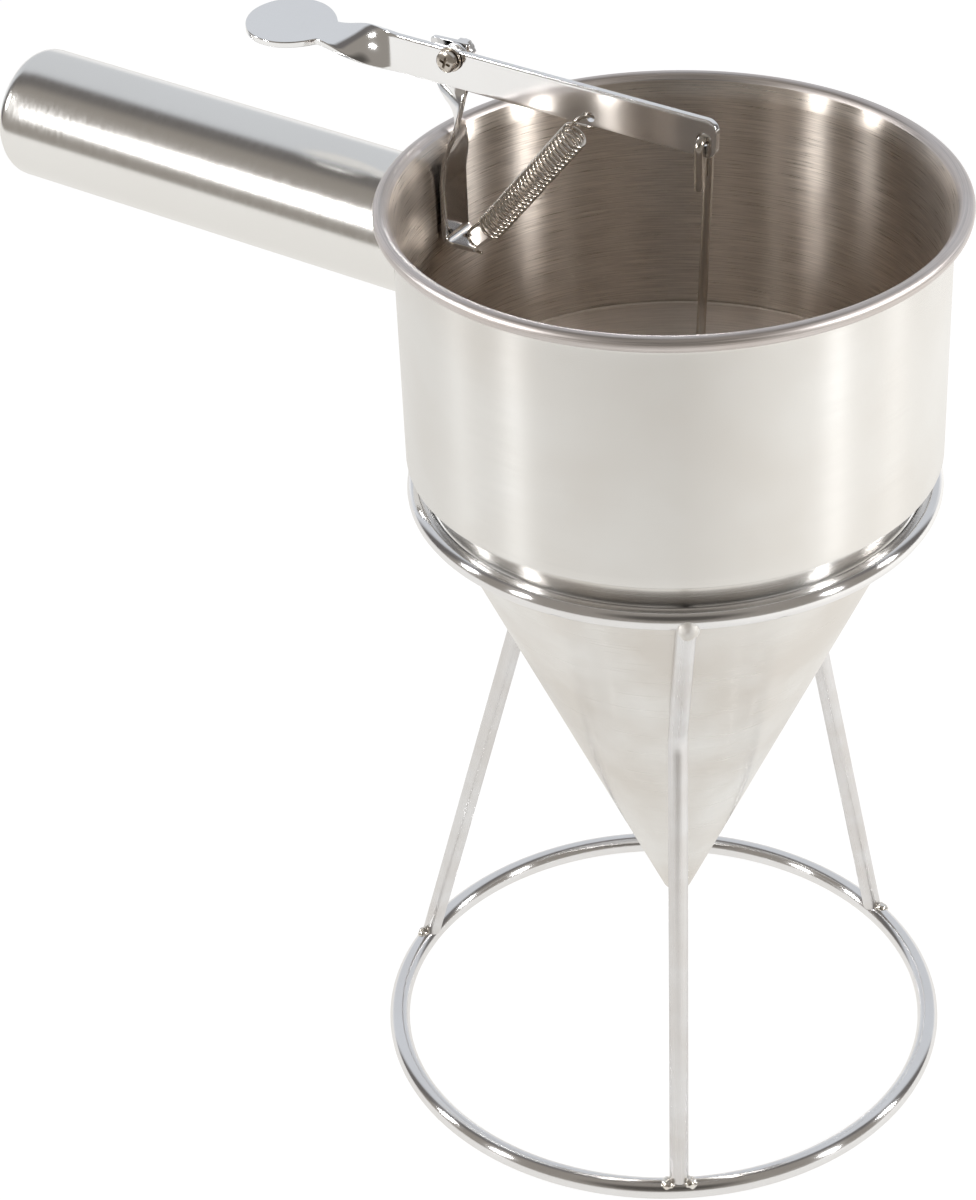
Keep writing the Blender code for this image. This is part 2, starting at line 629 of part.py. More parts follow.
def build_stand():
    section = ring_section(RING_R, RING_WIRE_R, RING_Z)
    keep(turned("stand_top_ring", section, RING_STEPS, spot(0, 0, 0), closed=True), 0.08)
    middle = spot(-BASE_OFF_X, BASE_OFF_Y, 0)
    section = ring_section(BASE_R, BASE_WIRE_R, BASE_WIRE_R)
    keep(turned("stand_base_ring", section, RING_STEPS, middle, closed=True), 0.08)
    for name, (top, bend, foot) in LEG_TURNS.items():
        top, bend, foot = math.radians(top), math.radians(bend), math.radians(foot)
        ring = in_mm(-RING_R * math.cos(top), RING_R * math.sin(top), RING_Z)
        knee = in_mm(-LEG_BEND_R_OUT * math.cos(bend), LEG_BEND_R_OUT * math.sin(bend), LEG_BEND_Z)
        base_x, base_y = BASE_OFF_X + BASE_R * math.cos(foot), BASE_OFF_Y + BASE_R * math.sin(foot)
        base = in_mm(-base_x, base_y, BASE_WIRE_R)
        start = ring + (knee - ring).normalized() * (RING_WIRE_R + GAP)
        end = base + (knee - base).normalized() * (BASE_WIRE_R + GAP)
        path = bent([start, knee, end], (LEG_BEND_R,), 6)
        keep(wire(name, [p * MM for p in path], LEG_R, start * MM), 0.25)


for old in list(bpy.data.objects):
    bpy.data.objects.remove(old)
PARTS = bpy.data.collections.new("fondant_funnel")
CUTTERS = bpy.data.collections.new("cutters")
for group in (PARTS, CUTTERS):
    bpy.context.scene.collection.children.link(group)
CUTTERS.hide_render = True
build_bowl()
build_cone()
build_handle()
build_lever()
build_bracket()
build_spring()
build_pivot()
build_plunger()
build_stand()
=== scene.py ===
"""Fondant funnel on its wire stand, dressed in brushed, satin and mirror-bright stainless steel.

Lengths are metres in the frame's own axes. "out" is the distance from the funnel's axis towards the handle,
which is along -X, and heights are above the table.
"""

import json
import math
from collections import namedtuple

import bmesh
import bpy
import numpy as np
from bpy.props import FloatProperty, FloatVectorProperty, IntProperty, PointerProperty
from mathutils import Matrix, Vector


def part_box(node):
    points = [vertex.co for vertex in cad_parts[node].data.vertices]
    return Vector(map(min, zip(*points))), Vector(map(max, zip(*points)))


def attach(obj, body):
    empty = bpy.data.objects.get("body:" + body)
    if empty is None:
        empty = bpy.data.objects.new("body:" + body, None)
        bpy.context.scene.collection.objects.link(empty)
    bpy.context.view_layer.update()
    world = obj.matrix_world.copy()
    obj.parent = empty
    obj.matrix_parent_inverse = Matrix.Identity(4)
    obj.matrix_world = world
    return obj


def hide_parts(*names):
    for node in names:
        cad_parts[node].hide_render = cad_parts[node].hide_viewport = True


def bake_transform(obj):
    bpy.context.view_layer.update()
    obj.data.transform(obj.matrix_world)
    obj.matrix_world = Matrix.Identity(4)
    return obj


bl_info = {
    "name": "Fondant Funnel",
    "version": (1, 0, 0),
    "blender": (4, 5, 0),
    "location": "View3D > Sidebar > Funnel",
    "description": "Builds the fondant funnel's steel pieces and its studio round the packed frame",
    "category": "Object",
}

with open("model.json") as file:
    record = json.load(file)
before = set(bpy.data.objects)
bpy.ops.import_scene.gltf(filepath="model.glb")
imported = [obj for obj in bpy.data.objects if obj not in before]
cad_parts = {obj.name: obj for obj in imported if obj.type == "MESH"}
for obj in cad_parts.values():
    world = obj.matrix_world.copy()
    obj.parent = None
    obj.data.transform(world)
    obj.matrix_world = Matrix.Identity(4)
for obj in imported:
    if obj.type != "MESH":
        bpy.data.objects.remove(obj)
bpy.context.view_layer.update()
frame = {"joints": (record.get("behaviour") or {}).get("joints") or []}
JOINTS = {joint["name"]: joint for joint in frame["joints"]}


def reach_of(node):
    """The lowest and highest corner of a CAD node."""
    low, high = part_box(node)
    return np.array(low), np.array(high)


BOWL_LOW, BOWL_HIGH = reach_of("bowl")
CONE_LOW, CONE_HIGH = reach_of("cone_spout")
HANDLE_LOW, HANDLE_HIGH = reach_of("handle_tube")
RING_LOW, RING_HIGH = reach_of("stand_top_ring")
BASE_LOW, BASE_HIGH = reach_of("stand_base_ring")
TIP_LOW, TIP_HIGH = reach_of("plunger_tip")

UP = np.array([0.0, 0.0, 1.0])
OUT = np.array([-1.0, 0.0, 0.0])
SIDE = np.array([0.0, 1.0, 0.0])
AXIS = (BOWL_LOW + BOWL_HIGH) / 2 * (UP == 0)
BASE_MIDDLE = (BASE_LOW + BASE_HIGH) / 2 * (UP == 0)
PIVOT = np.array(JOINTS["lever_pivot"]["pos_m"])
ROD_HOLE = np.array(JOINTS["plunger_hang"]["pos_m"])
RIM_R = (BOWL_HIGH[0] - BOWL_LOW[0]) / 2
PIVOT_OUT = AXIS[0] - PIVOT[0]
WHITE, BLACK = (1.0, 1.0, 1.0), (0.0, 0.0, 0.0)

# marks is how often the fine marks change round a piece and per metre along it, depth their bump in
# millimetres, spread what they add to the roughness and lines how much they change the colour. grain is the
# anisotropy and lean its turn from the way round. cloud is a slow change of colour, by scale.
Finish = namedtuple(
    "Finish", "colour roughness marks depth spread grain cloud scale lines lean", defaults=(0.0, 0.25)
)
FINISHES = {
    "bowl_outside": Finish("clear", 0.23, (20.0, 2600.0), 0.004, 0.02, 0.95, 0.08, 22.0, 0.05),
    "bowl_inside": Finish("warm", 0.31, (30.0, 2600.0), 0.02, 0.05, 1.0, 0.1, 18.0, 0.28),
    "rolled_rim": Finish("rim", 0.42, (12.0, 3000.0), 0.01, 0.08, 0.0, 0.1, 40.0, 0.25),
    "cone_outside": Finish("clear", 0.25, (4.0, 2200.0), 0.003, 0.03, 0.85, 0.16, 28.0),
    "cone_inside": Finish("pale", 0.38, (30.0, 2600.0), 0.02, 0.05, 1.0, 0.08, 20.0, 0.15),
    "handle_polish": Finish("clear", 0.19, (30.0, 900.0), 0.0015, 0.03, 0.0, 0.03, 12.0),
    "weld_bead": Finish("bright", 0.22, (6.0, 900.0), 0.03, 0.08, 0.0, 0.1, 300.0),
    "lever_polish": Finish("mirror", 0.11, (2.0, 60.0), 0.0006, 0.02, 0.0, 0.02, 40.0),
    "bracket_polish": Finish("mirror", 0.1, (2.0, 400.0), 0.002, 0.04, 0.0, 0.04, 60.0),
    "spring_wire": Finish("wire", 0.1, (3.0, 500.0), 0.002, 0.06, 0.0, 0.05, 120.0),
    "screw_dark": Finish("dark", 0.2, (2.0, 800.0), 0.004, 0.05, 0.0, 0.1, 300.0),
    "nut_bright": Finish("mirror", 0.2, (2.0, 800.0), 0.004, 0.05, 0.0, 0.05, 300.0),
    "rod_polish": Finish("dark", 0.08, (1.0, 250.0), 0.001, 0.03, 0.0, 0.03, 60.0),
    "stopper_satin": Finish("bright", 0.3, (3.0, 1200.0), 0.01, 0.06, 0.0, 0.05, 120.0),
    "ring_chrome": Finish("chrome", 0.13, (60.0, 12.0), 0.003, 0.03, 0.95, 0.04, 60.0, 0.0, 0.0),
    "leg_satin": Finish("satin", 0.3, (30.0, 25.0), 0.012, 0.06, 0.6, 0.1, 90.0, 0.0, 0.0),
    "weld_dull": Finish("clear", 0.7, (4.0, 500.0), 0.006, 0.06, 0.0, 0.1, 500.0),
    "weld_bright": Finish("bright", 0.16, (4.0, 500.0), 0.02, 0.08, 0.0, 0.15, 500.0),
}


def length(label, description, value):
    return FloatProperty(
        name=label, description=description, default=value, subtype="DISTANCE", unit="LENGTH"
    )


def turn(label, description, degrees):
    return FloatProperty(
        name=label, description=description, default=math.radians(degrees), subtype="ANGLE", unit="ROTATION"
    )


def plain(label, description, value):
    return FloatProperty(name=label, description=description, default=value)


def tint(label, description, value):
    return FloatVectorProperty(
        name=label, description=description, default=value, min=0.0, max=1.0, subtype="COLOR"
    )


def count(label, description, value):
    return IntProperty(name=label, description=description, default=value, min=3)


class BowlSizes(bpy.types.PropertyGroup):
    wall: length("Wall", "Thickness of the bowl's and the cone's sheet", 0.001)
    bead_radius: length("Bead radius", "Radius of the rolled rim", 0.0021)
    bead_out: length("Bead offset", "The bead's middle beyond the wall's outer face", 0.00273)
    bead_root: length("Bead root", "Where the wall starts to flare, below the bead's middle", 0.0046)
    taper: length("Taper", "How much narrower the wall is at its foot", 0.0003)
    foot_edge: length("Foot edge", "Rounding of the wall's foot", 0.00035)
    steps: count("Steps round", "Places round the bowl and the cone", 288)


class ConeSizes(bpy.types.PropertyGroup):
    outlet_radius: length("Outlet radius", "Outer radius at the spout's foot", 0.00404)
    collar_gap: length("Collar gap", "Room between the collar and the bowl's wall", 0.0003)
    collar_foot: length("Collar foot", "The collar's bend above the bowl's foot", 0.0002)
    bend: length("Bend", "Reach of the bend from the cone to the collar", 0.003)


class HandleSizes(bpy.types.PropertyGroup):
    height: length("Height", "The tube's axis above the bowl's foot, at the wall", 0.0448)
    length: length("Length", "From the bowl's wall to the closed end", 0.14165)
    edge: length("End edge", "Rounding of the closed end", 0.0046)
    rise: turn("Rise", "How far the handle tips up", 2.6)
    weld: length("Weld", "Radius of the weld bead at the root", 0.0007)


class LeverSizes(bpy.types.PropertyGroup):
    height: length("Strip height", "Width of the strip, which stands on edge", 0.0107)
    thick: length("Thickness", "Thickness of the strip", 0.0018)
    edge: length("Edge", "Rounding of the strip's edges", 0.00032)
    corner: length("Front corner", "Rounding of the strip's front end", 0.003)
    past_rod: length("Past the rod", "How far the strip goes on past the rod's hole", 0.0038)
    slope: plain("Slope", "Rise of the strip for each metre outwards", 0.0402)
    pivot_rise: length("Pivot rise", "The pivot above the strip's middle line", 0.00295)
    thumb_arm: length("Thumb arm", "From the pivot to the thumb plate's middle", 0.0524)
    thumb_radius: length("Thumb radius", "Radius of the round thumb plate", 0.0122)
    twist_start: length("Twist start", "From the pivot to where the twist starts", 0.0165)
    twist_margin: length("Twist margin", "From the twist's end to the thumb plate's middle", 0.0114)
    twist: turn("Twist", "How far the strip twists", 85.0)
    pivot_hole: length("Pivot hole", "Radius of the holes for the screw", 0.0018)
    rod_hole: length("Rod hole", "Radius of the hole for the rod", 0.00185)
    spring_hole: length("Spring hole", "Radius of the holes for the spring", 0.0013)


class BracketSizes(bpy.types.PropertyGroup):
    side: length("Side", "The bracket's middle line beside the lever's", 0.0032)
    width: length("Width", "Width of the strip", 0.0114)
    thick: length("Thickness", "Thickness of the strip", 0.0015)
    edge: length("Edge", "Rounding of the strip's edges", 0.0003)
    corner: length("Corner", "Rounding of the strip's end corners", 0.0009)
    tab: length("Tab", "Length of the foot tab", 0.0095)
    tab_drop: length("Tab drop", "The tab below the rim's top", 0.03034)
    tab_bend: length("Tab bend", "Radius of the bend at the tab", 0.0024)
    bend: length("Bend", "Radius of the strip's other bends", 0.014)
    plate: length("Plate", "Height of the part along the wall", 0.0178)
    neck: length("Neck", "Height of the neck above the tab", 0.0328)
    neck_in: length("Neck set-in", "The neck's lean from the wall", 0.0025)
    ear_margin: length("Ear margin", "The ear's reach past the pivot", 0.0029)
    ear_rise: length("Ear rise", "The ear's top above the pivot", 0.0033)
    ear: length("Ear", "Height of the ear", 0.015)
    turn_start: length("Turn start", "Where the quarter turn starts, above the tab", 0.0233)
    turn_end: length("Turn end", "Where the quarter turn ends, below the ear's top", 0.006)


class FixingSizes(bpy.types.PropertyGroup):
    gap: length("Gap", "Room between neighbours", 0.0003)
    shank: length("Shank radius", "Radius of the pivot screw", 0.0015)
    head: length("Head radius", "Radius of the screw's pan head", 0.0029)
    head_height: length("Head height", "Height of the pan head", 0.0022)
    crown: length("Crown", "Rise of the pan head's dome", 0.0006)
    tail: length("Tail", "The screw's reach past the nut", 0.0006)
    washer: length("Washer radius", "Outer radius of both washers", 0.0034)
    washer_thick: length("Washer thickness", "Thickness of the washer under the head", 0.0005)
    nut: length("Nut", "Across the nut's flats", 0.0055)
    nut_height: length("Nut height", "Height of the nut", 0.0024)
    recess: length("Recess", "Reach of each arm of the cross recess", 0.0018)
    recess_half: length("Recess half width", "Half the width of each arm", 0.00042)


class SpringSizes(bpy.types.PropertyGroup):
    wire: length("Wire radius", "Radius of the spring's wire", 0.00045)
    coil: length("Coil radius", "Radius of the coil to its wire's middle", 0.0035)
    hook: length("Hook radius", "Radius of both hooks", 0.0036)
    hook_lean: turn("Hook lean", "How far the upper hook is turned about the spring", 35.0)
    turns: plain("Turns", "Turns of the coil", 26.75)
    upper_run: length("Upper run", "From the upper hook to the coil", 0.0016)
    lower_run: length("Lower run", "From the coil to the lower hook", 0.003)
    arm: length("Arm", "From the pivot in to the hook's hole in the lever", 0.0424)
    drop: length("Drop", "The hook's hole below the strip's middle line", 0.00285)
    clear: length("Clear of the tab", "Room between the lower hook and the tab's end", 0.0011)


class PlungerSizes(bpy.types.PropertyGroup):
    radius: length("Rod radius", "Radius of the rod's wire", 0.00125)
    leg: length("Leg offset", "Each leg of the hook beside the lever's middle", 0.003)
    bend: length("Bend", "Radius of the hook's bends", 0.002)
    ease: length("Ease", "Radius of the rod's last easy bend", 0.02)
    short_leg: length("Short leg", "Length of the hook's free leg", 0.0134)
    neck: length("Neck", "Radius of the stopper's neck", 0.003)
    socket: length("Socket", "Depth of the stopper's hole for the rod", 0.0113)


class StandSizes(bpy.types.PropertyGroup):
    leg_radius: length("Leg radius", "Radius of the legs' wire", 0.0027)
    knee_height: length("Knee height", "Height of the bend in each leg", 0.1379)
    knee_gap: length("Knee gap", "From the cone's face to the leg's middle at the knee", 0.00436)
    knee_radius: length("Knee radius", "Radius of the bend in each leg", 0.009)
    weld_apart: length("Weld spacing", "Each foot weld beside the leg's middle", 0.0032)
    steps: count("Steps round", "Places round each ring", 240)


class Finishes(bpy.types.PropertyGroup):
    bright: tint("Bright steel", "Colour of the weld beads and the stopper", (0.86, 0.84, 0.80))
    clear: tint("Clear steel", "Colour of the bowl, the cone and the handle outside", (0.86, 0.855, 0.84))
    pale: tint("Pale steel", "Colour of the brushed steel inside the cone", (0.97, 0.90, 0.84))
    mirror: tint("Mirror steel", "Colour of the lever, the bracket and the nut", (0.92, 0.925, 0.935))
    dark: tint("Dark steel", "Colour of the screw, its washer and the rod", (0.62, 0.58, 0.53))
    warm: tint("Warm steel", "Colour of the brushed steel inside the bowl", (0.88, 0.81, 0.74))
    rim: tint("Satin rim", "Colour of the rolled rim", (0.78, 0.735, 0.72))
    wire: tint("Wire steel", "Colour of the spring", (0.70, 0.65, 0.59))
    chrome: tint("Chrome", "Colour of the stand's bright wire", (0.86, 0.86, 0.87))
    satin: tint("Satin steel", "Colour of the stand's legs", (0.80, 0.80, 0.81))


class StudioSettings(bpy.types.PropertyGroup):
    distance: length("Camera distance", "From the funnel's axis to the camera, over the floor", 0.75944)
    bearing: turn("Camera bearing", "Direction from the axis to the camera", -60.0)
    height: length("Camera height", "The camera above the table", 0.6555)
    pan: turn("Camera pan", "Direction the camera looks in", 123.93)
    tilt: turn("Camera tilt", "How far the camera looks down", 33.564)
    roll: turn("Camera roll", "The camera's lean", -2.605)
    lens: plain("Lens", "Focal length in millimetres", 98.104)
    lamp_rise: turn("Lamp rise", "How high the lamps stand", 20.0)
    lamp_distance: length("Lamp distance", "From the bowl to each lamp", 1.6)
    lamp_width: length("Lamp width", "Width of each oval lamp", 0.18)
    lamp_height: length("Lamp height", "Height of each oval lamp", 0.46)
    lamp_brightness: plain("Lamp brightness", "Brightness, white being 1", 38.0)
    floor_radius: length("Table radius", "Radius of the white table", 1.2)
    floor_back: length("Table set-back", "The table's middle behind the funnel", 0.45)
    table_white: plain("Table white", "The table's own white, as seen", 1.22)
    table_mirrored: plain("Table mirrored", "The table's white in mirrors", 0.95)
    backdrop_height: turn("Backdrop height", "Height of the backdrop's middle", 15.0)
    backdrop: tint("Backdrop", "Colour of the backdrop in mirrors", (0.66, 0.68, 0.71))
    dark: tint("Dark frame", "Colour of the frame round the backdrop", (0.15, 0.14, 0.135))
    room: tint("Room", "Colour of the rest of the room", (0.30, 0.275, 0.245))


class FunnelSettings(bpy.types.PropertyGroup):
    bowl: PointerProperty(type=BowlSizes)
    cone: PointerProperty(type=ConeSizes)
    handle: PointerProperty(type=HandleSizes)
    lever: PointerProperty(type=LeverSizes)
    bracket: PointerProperty(type=BracketSizes)
    fixing: PointerProperty(type=FixingSizes)
    spring: PointerProperty(type=SpringSizes)
    plunger: PointerProperty(type=PlungerSizes)
    stand: PointerProperty(type=StandSizes)
    finish: PointerProperty(type=Finishes)
    studio: PointerProperty(type=StudioSettings)


def unit(rows):
    return rows / np.linalg.norm(rows, axis=-1, keepdims=True)


def eased(value, start, end):
    """0 before start, 1 after end, and 3t^2 - 2t^3 between them."""
    t = np.clip((value - start) / (end - start), 0.0, 1.0)
    return t * t * (3 - 2 * t)


def at(out, side, height):
    """The place that far out from the axis, to the side and up. The three may be arrays."""
    out, side, height = np.broadcast_arrays(out, side, height)
    return np.stack([AXIS[0] - out, AXIS[1] + side, height], axis=-1)


def swung(first, second, a):
    """The direction at angle a from the first towards the second: first cos a + second sin a."""
    return first * np.cos(a) + second * np.sin(a)


def pairs(first, second):
    return np.stack(np.broadcast_arrays(first, second), axis=-1)


def all_round(number):
    """Even angles all the way round."""
    return np.linspace(0.0, 2 * math.pi, number, endpoint=False)


def quarter(radius, number):
    """Distances along a rounded end: radius (1 - cos a), with a up to a right angle."""
    return radius * (1 - np.cos(np.linspace(0.0, math.pi / 2, number)))


def arc(middle, radius, start, end, number):
    """Rows of middle + radius (cos a, sin a), with a from start to end in degrees."""
    a = np.radians(np.linspace(start, end, number))
    return np.array(middle) + radius * pairs(np.cos(a), np.sin(a))


def sweep_between(start, start_way, end, end_way, number):
    """A cubic curve between two places, with its directions and their lengths at both ends."""
    t = np.linspace(0.0, 1.0, number)[:, None]
    near, far = 2 * t**3 - 3 * t**2 + 1, 3 * t**2 - 2 * t**3
    return near * start + (t**3 - 2 * t**2 + t) * start_way + far * end + (t**3 - t**2) * end_way


def lengths_along(path):
    steps = np.linalg.norm(np.diff(path, axis=0), axis=1)
    return np.concatenate([[0.0], np.cumsum(steps)])


def read_along(path, distances):
    """The places at these distances along a path."""
    known = lengths_along(path)
    return np.stack([np.interp(distances, known, path[:, k]) for k in range(3)], axis=-1)


def rounded(corners, radii, number):
    """A path through corners, with arcs for the inner ones. An arc's middle is radius over the cosine of
    half the turn away, and it swings between the directions square to the two runs."""
    path = [corners[0][None]]
    for before, corner, after, radius in zip(corners, corners[1:], corners[2:], radii):
        arrive, leave = unit(corner - before), unit(after - corner)
        half = np.arccos(np.clip(arrive @ leave, -1, 1)) / 2
        middle = corner + unit(leave - arrive) * radius / np.cos(half)
        swing = np.linspace(-half, half, number)[:, None]
        inward, ahead = unit(arrive - leave), unit(arrive + leave)
        path.append(middle + radius * swung(inward, ahead, swing))
    return np.concatenate(path + [corners[-1][None]])


def carried(path):
    """Two directions across a path that don't twist. Each station starts from the world axis least along it;
    what that turns against the station before, carried across, is summed, and the sum is turned back."""
    ahead = unit(np.gradient(path, axis=0))
    side = unit(np.cross(ahead, np.eye(3)[np.argmin(np.abs(ahead), axis=1)]))
    bend = np.cross(ahead[:-1], ahead[1:])
    cosine = np.sum(ahead[:-1] * ahead[1:], axis=1)[:, None]
    moved = side[:-1] + np.cross(bend, side[:-1]) + np.cross(bend, np.cross(bend, side[:-1])) / (1 + cosine)
    sine = np.sum(np.cross(moved, side[1:]) * ahead[1:], axis=1)
    added = np.arctan2(sine, np.sum(moved * side[1:], axis=1))
    back = -np.concatenate([[0.0], np.cumsum(added)])[:, None]
    straight = swung(side, np.cross(ahead, side), back)
    return straight, np.cross(ahead, straight)


def surface(name, grid, loop=False, edge=35.0, poles=False):
    """Skins grid[i, j], the j-th place round the i-th station: quads join i, i + 1 and j, j + 1, round to
    the first j, and with loop to the first i. The UV map holds the share round and the metres along.
    The sum of the faces' signed volumes says which way is out, and they are turned if it is negative."""
    stations, places = grid.shape[:2]
    last = stations if loop else stations - 1
    i, j = np.meshgrid(np.arange(last), np.arange(places), indexing="ij")
    row = np.stack([i, i, i + 1, i + 1], axis=-1).reshape(-1, 4)
    column = np.stack([j, j + 1, j + 1, j], axis=-1).reshape(-1, 4)
    quads = (row % stations) * places + column % places
    steps = np.linalg.norm(np.roll(grid, -1, axis=0) - grid, axis=2).mean(axis=1)
    along = np.concatenate([[0.0], np.cumsum(steps)])
    uv = np.stack([column / places, along[row]], axis=-1)
    points = grid.reshape(-1, 3)
    around = np.arange(places)
    ends = [] if loop or poles else [around[::-1], (stations - 1) * places + around]
    p = points[quads] - points.mean(axis=0)
    volume = np.sum(p[:, 0] * (np.cross(p[:, 1], p[:, 2]) + np.cross(p[:, 2], p[:, 3])))
    for end in ends:
        q = points[end] - points.mean(axis=0)
        volume += np.sum(q.mean(axis=0) * np.cross(q, np.roll(q, -1, axis=0)))
    if volume < 0:
        quads, uv, ends = quads[:, ::-1], uv[:, ::-1], [end[::-1] for end in ends]
    mesh = bpy.data.meshes.new(name)
    mesh.from_pydata(points.tolist(), [], quads.tolist() + [end.tolist() for end in ends])
    end_uv = [np.zeros((len(end), 2)) for end in ends]
    mesh.uv_layers.new(name="UVMap")
    mesh.uv_layers["UVMap"].data.foreach_set("uv", np.concatenate([uv.reshape(-1, 2)] + end_uv).ravel())
    if poles:
        close_poles(mesh)
    mesh.polygons.foreach_set("use_smooth", np.ones(len(mesh.polygons), bool))
    mesh.set_sharp_from_angle(angle=math.radians(edge))
    obj = bpy.data.objects.new(name, mesh)
    bpy.context.scene.collection.objects.link(obj)
    return obj


def close_poles(mesh):
    """Merges the places that fell together at a pole."""
    work = bmesh.new()
    work.from_mesh(mesh)
    bmesh.ops.remove_doubles(work, verts=work.verts, dist=1e-7)
    bmesh.ops.dissolve_degenerate(work, edges=work.edges, dist=1e-8)
    work.to_mesh(mesh)
    work.free()


def turned(profile, steps, foot=AXIS, ahead=UP):
    """Turns rows of (radius, height) about the line from foot along ahead: place j of row i is foot + height
    ahead + radius (side cos a + other sin a), with a = 2 pi j / steps."""
    profile = np.asarray(profile, float)
    side = unit(np.cross(ahead, SIDE if abs(ahead[1]) < 0.9 else UP))
    around = swung(side, np.cross(ahead, side), all_round(steps)[:, None])
    r, h = profile[:, 0, None, None], profile[:, 1, None, None]
    return foot + h * ahead + r * around


def tube(path, radius, sides, across=None):
    """Carries a circle along a path: place j of station i is path + radius (side cos a + other sin a)."""
    side, other = across if across is not None else carried(path)
    radius = np.broadcast_to(radius, len(path))[:, None, None]
    return path[:, None] + radius * swung(side[:, None], other[:, None], all_round(sides)[:, None])


def softened(path, radius, edge, spacing):
    """A path's stations and radii with rounded ends: near an end the radius is radius - edge + edge sin a at
    edge (1 - cos a) along."""
    total = lengths_along(path)[-1]
    near = quarter(edge, 6)
    size = radius - edge + edge * np.sin(np.linspace(0.0, math.pi / 2, 6))
    middle = np.linspace(edge, total - edge, max(int(total / spacing), 2) + 1)[1:-1]
    distances = np.concatenate([near, middle, total - near[::-1]])
    radii = np.concatenate([size, np.full(len(middle), radius), size[::-1]])
    return read_along(path, distances), radii


def bar(centres, width, face, half_width, half_thick, edge, across=10, corner=5):
    """Carries a flat bar's section along centres. Round it, a place is a (w - e) + e cos t across and
    b (t - e) + e sin t through, so that corners of radius e join two flat faces in even steps."""
    turns = np.linspace(0.0, math.pi / 2, corner)
    flat = np.linspace(1.0, -1.0, across + 2)[1:-1]
    rows = []
    for k, (a, b) in enumerate(((1, 1), (-1, 1), (-1, -1), (1, -1))):
        angle = turns + k * math.pi / 2
        rows.append([np.full(corner, a), np.full(corner, b), np.cos(angle), np.sin(angle)])
        if a == b:
            rows.append([flat * a, np.full(across, b), np.zeros(across), np.full(across, b)])
    a, b, cosine, sine = np.concatenate(rows, axis=1)
    half_width = np.broadcast_to(half_width, len(centres))[:, None]
    soft = np.minimum(edge, half_width * 0.4)
    w = a * (half_width - soft) + cosine * soft
    t = b * (half_thick - soft) + sine * soft
    return centres[:, None] + width[:, None] * w[..., None] + face[:, None] * t[..., None]


def cut_away(piece, cutters):
    """Takes the cutters out of a piece, keeps the result as its mesh with crisp edges, and removes them."""
    for cutter in cutters:
        taken = piece.modifiers.new("cut", "BOOLEAN")
        taken.operation = "DIFFERENCE"
        taken.solver = "EXACT"
        taken.object = cutter
    depsgraph = bpy.context.evaluated_depsgraph_get()
    made = bpy.data.meshes.new_from_object(piece.evaluated_get(depsgraph), depsgraph=depsgraph)
    made.set_sharp_from_angle(angle=math.radians(40))
    piece.modifiers.clear()
    piece.data = made
    for cutter in cutters:
        bpy.data.meshes.remove(cutter.data)


def drill(piece, *holes):
    """Drills round holes, each a place, a direction and a radius."""
    reach = 0.003
    cut_away(piece, [
        surface(f"{piece.name}_drill_{k}", turned([(radius, -reach), (radius, reach)], 48, place, way))
        for k, (place, way, radius) in enumerate(holes)
    ])


def dress(piece, body, finishes, slot, *nodes):
    """Gives a finished piece its finishes and its body, and hides the CAD nodes that it stands for. The slot
    is not used.
    """
    piece.data.materials.clear()
    for name in finishes:
        piece.data.materials.append(steel(name))
    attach(piece, body)
    if nodes:
        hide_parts(*nodes)


def dress_rows(piece, choice, steps):
    """Gives every row of a turned piece one of its materials, by number."""
    piece.data.polygons.foreach_set("material_index", np.repeat(choice, steps).astype(np.int32))


def add(tree, kind, inputs=None, **settings):
    """A shader node, with its settings, and its inputs given as values or as the sockets that feed them."""
    node = tree.nodes.new("ShaderNode" + kind)
    for key, value in settings.items():
        setattr(node, key, value)
    for key, value in (inputs or {}).items():
        if isinstance(value, bpy.types.NodeSocket):
            tree.links.new(value, node.inputs[key])
        else:
            node.inputs[key].default_value = value
    return node


def ranged(tree, value, low, high, start, end):
    """Start where the value is low, end where it is high, and evenly between."""
    limits = {"From Min": low, "From Max": high, "To Min": start, "To Max": end}
    return add(tree, "MapRange", {"Value": value, **limits}).outputs[0]


def noise(tree, place, scale, more):
    return add(tree, "TexNoise", {"Vector": place, "Scale": scale, "Detail": 3.0, **more}).outputs["Fac"]


def mixed(tree, share, first, second, kind="MIX"):
    colours = {"Color1": first, "Color2": second}
    return add(tree, "MixRGB", {"Fac": share, **colours}, blend_type=kind).outputs[0]


def facing(tree, way, direction):
    """How far a vector socket points along a direction."""
    return add(tree, "VectorMath", {0: way, 1: tuple(direction)}, operation="DOT_PRODUCT").outputs["Value"]


def paint(name):
    """A new material, its nodes and its shader."""
    made = bpy.data.materials.new(name)
    made.use_nodes = True
    return made, made.node_tree, made.node_tree.nodes["Principled BSDF"]


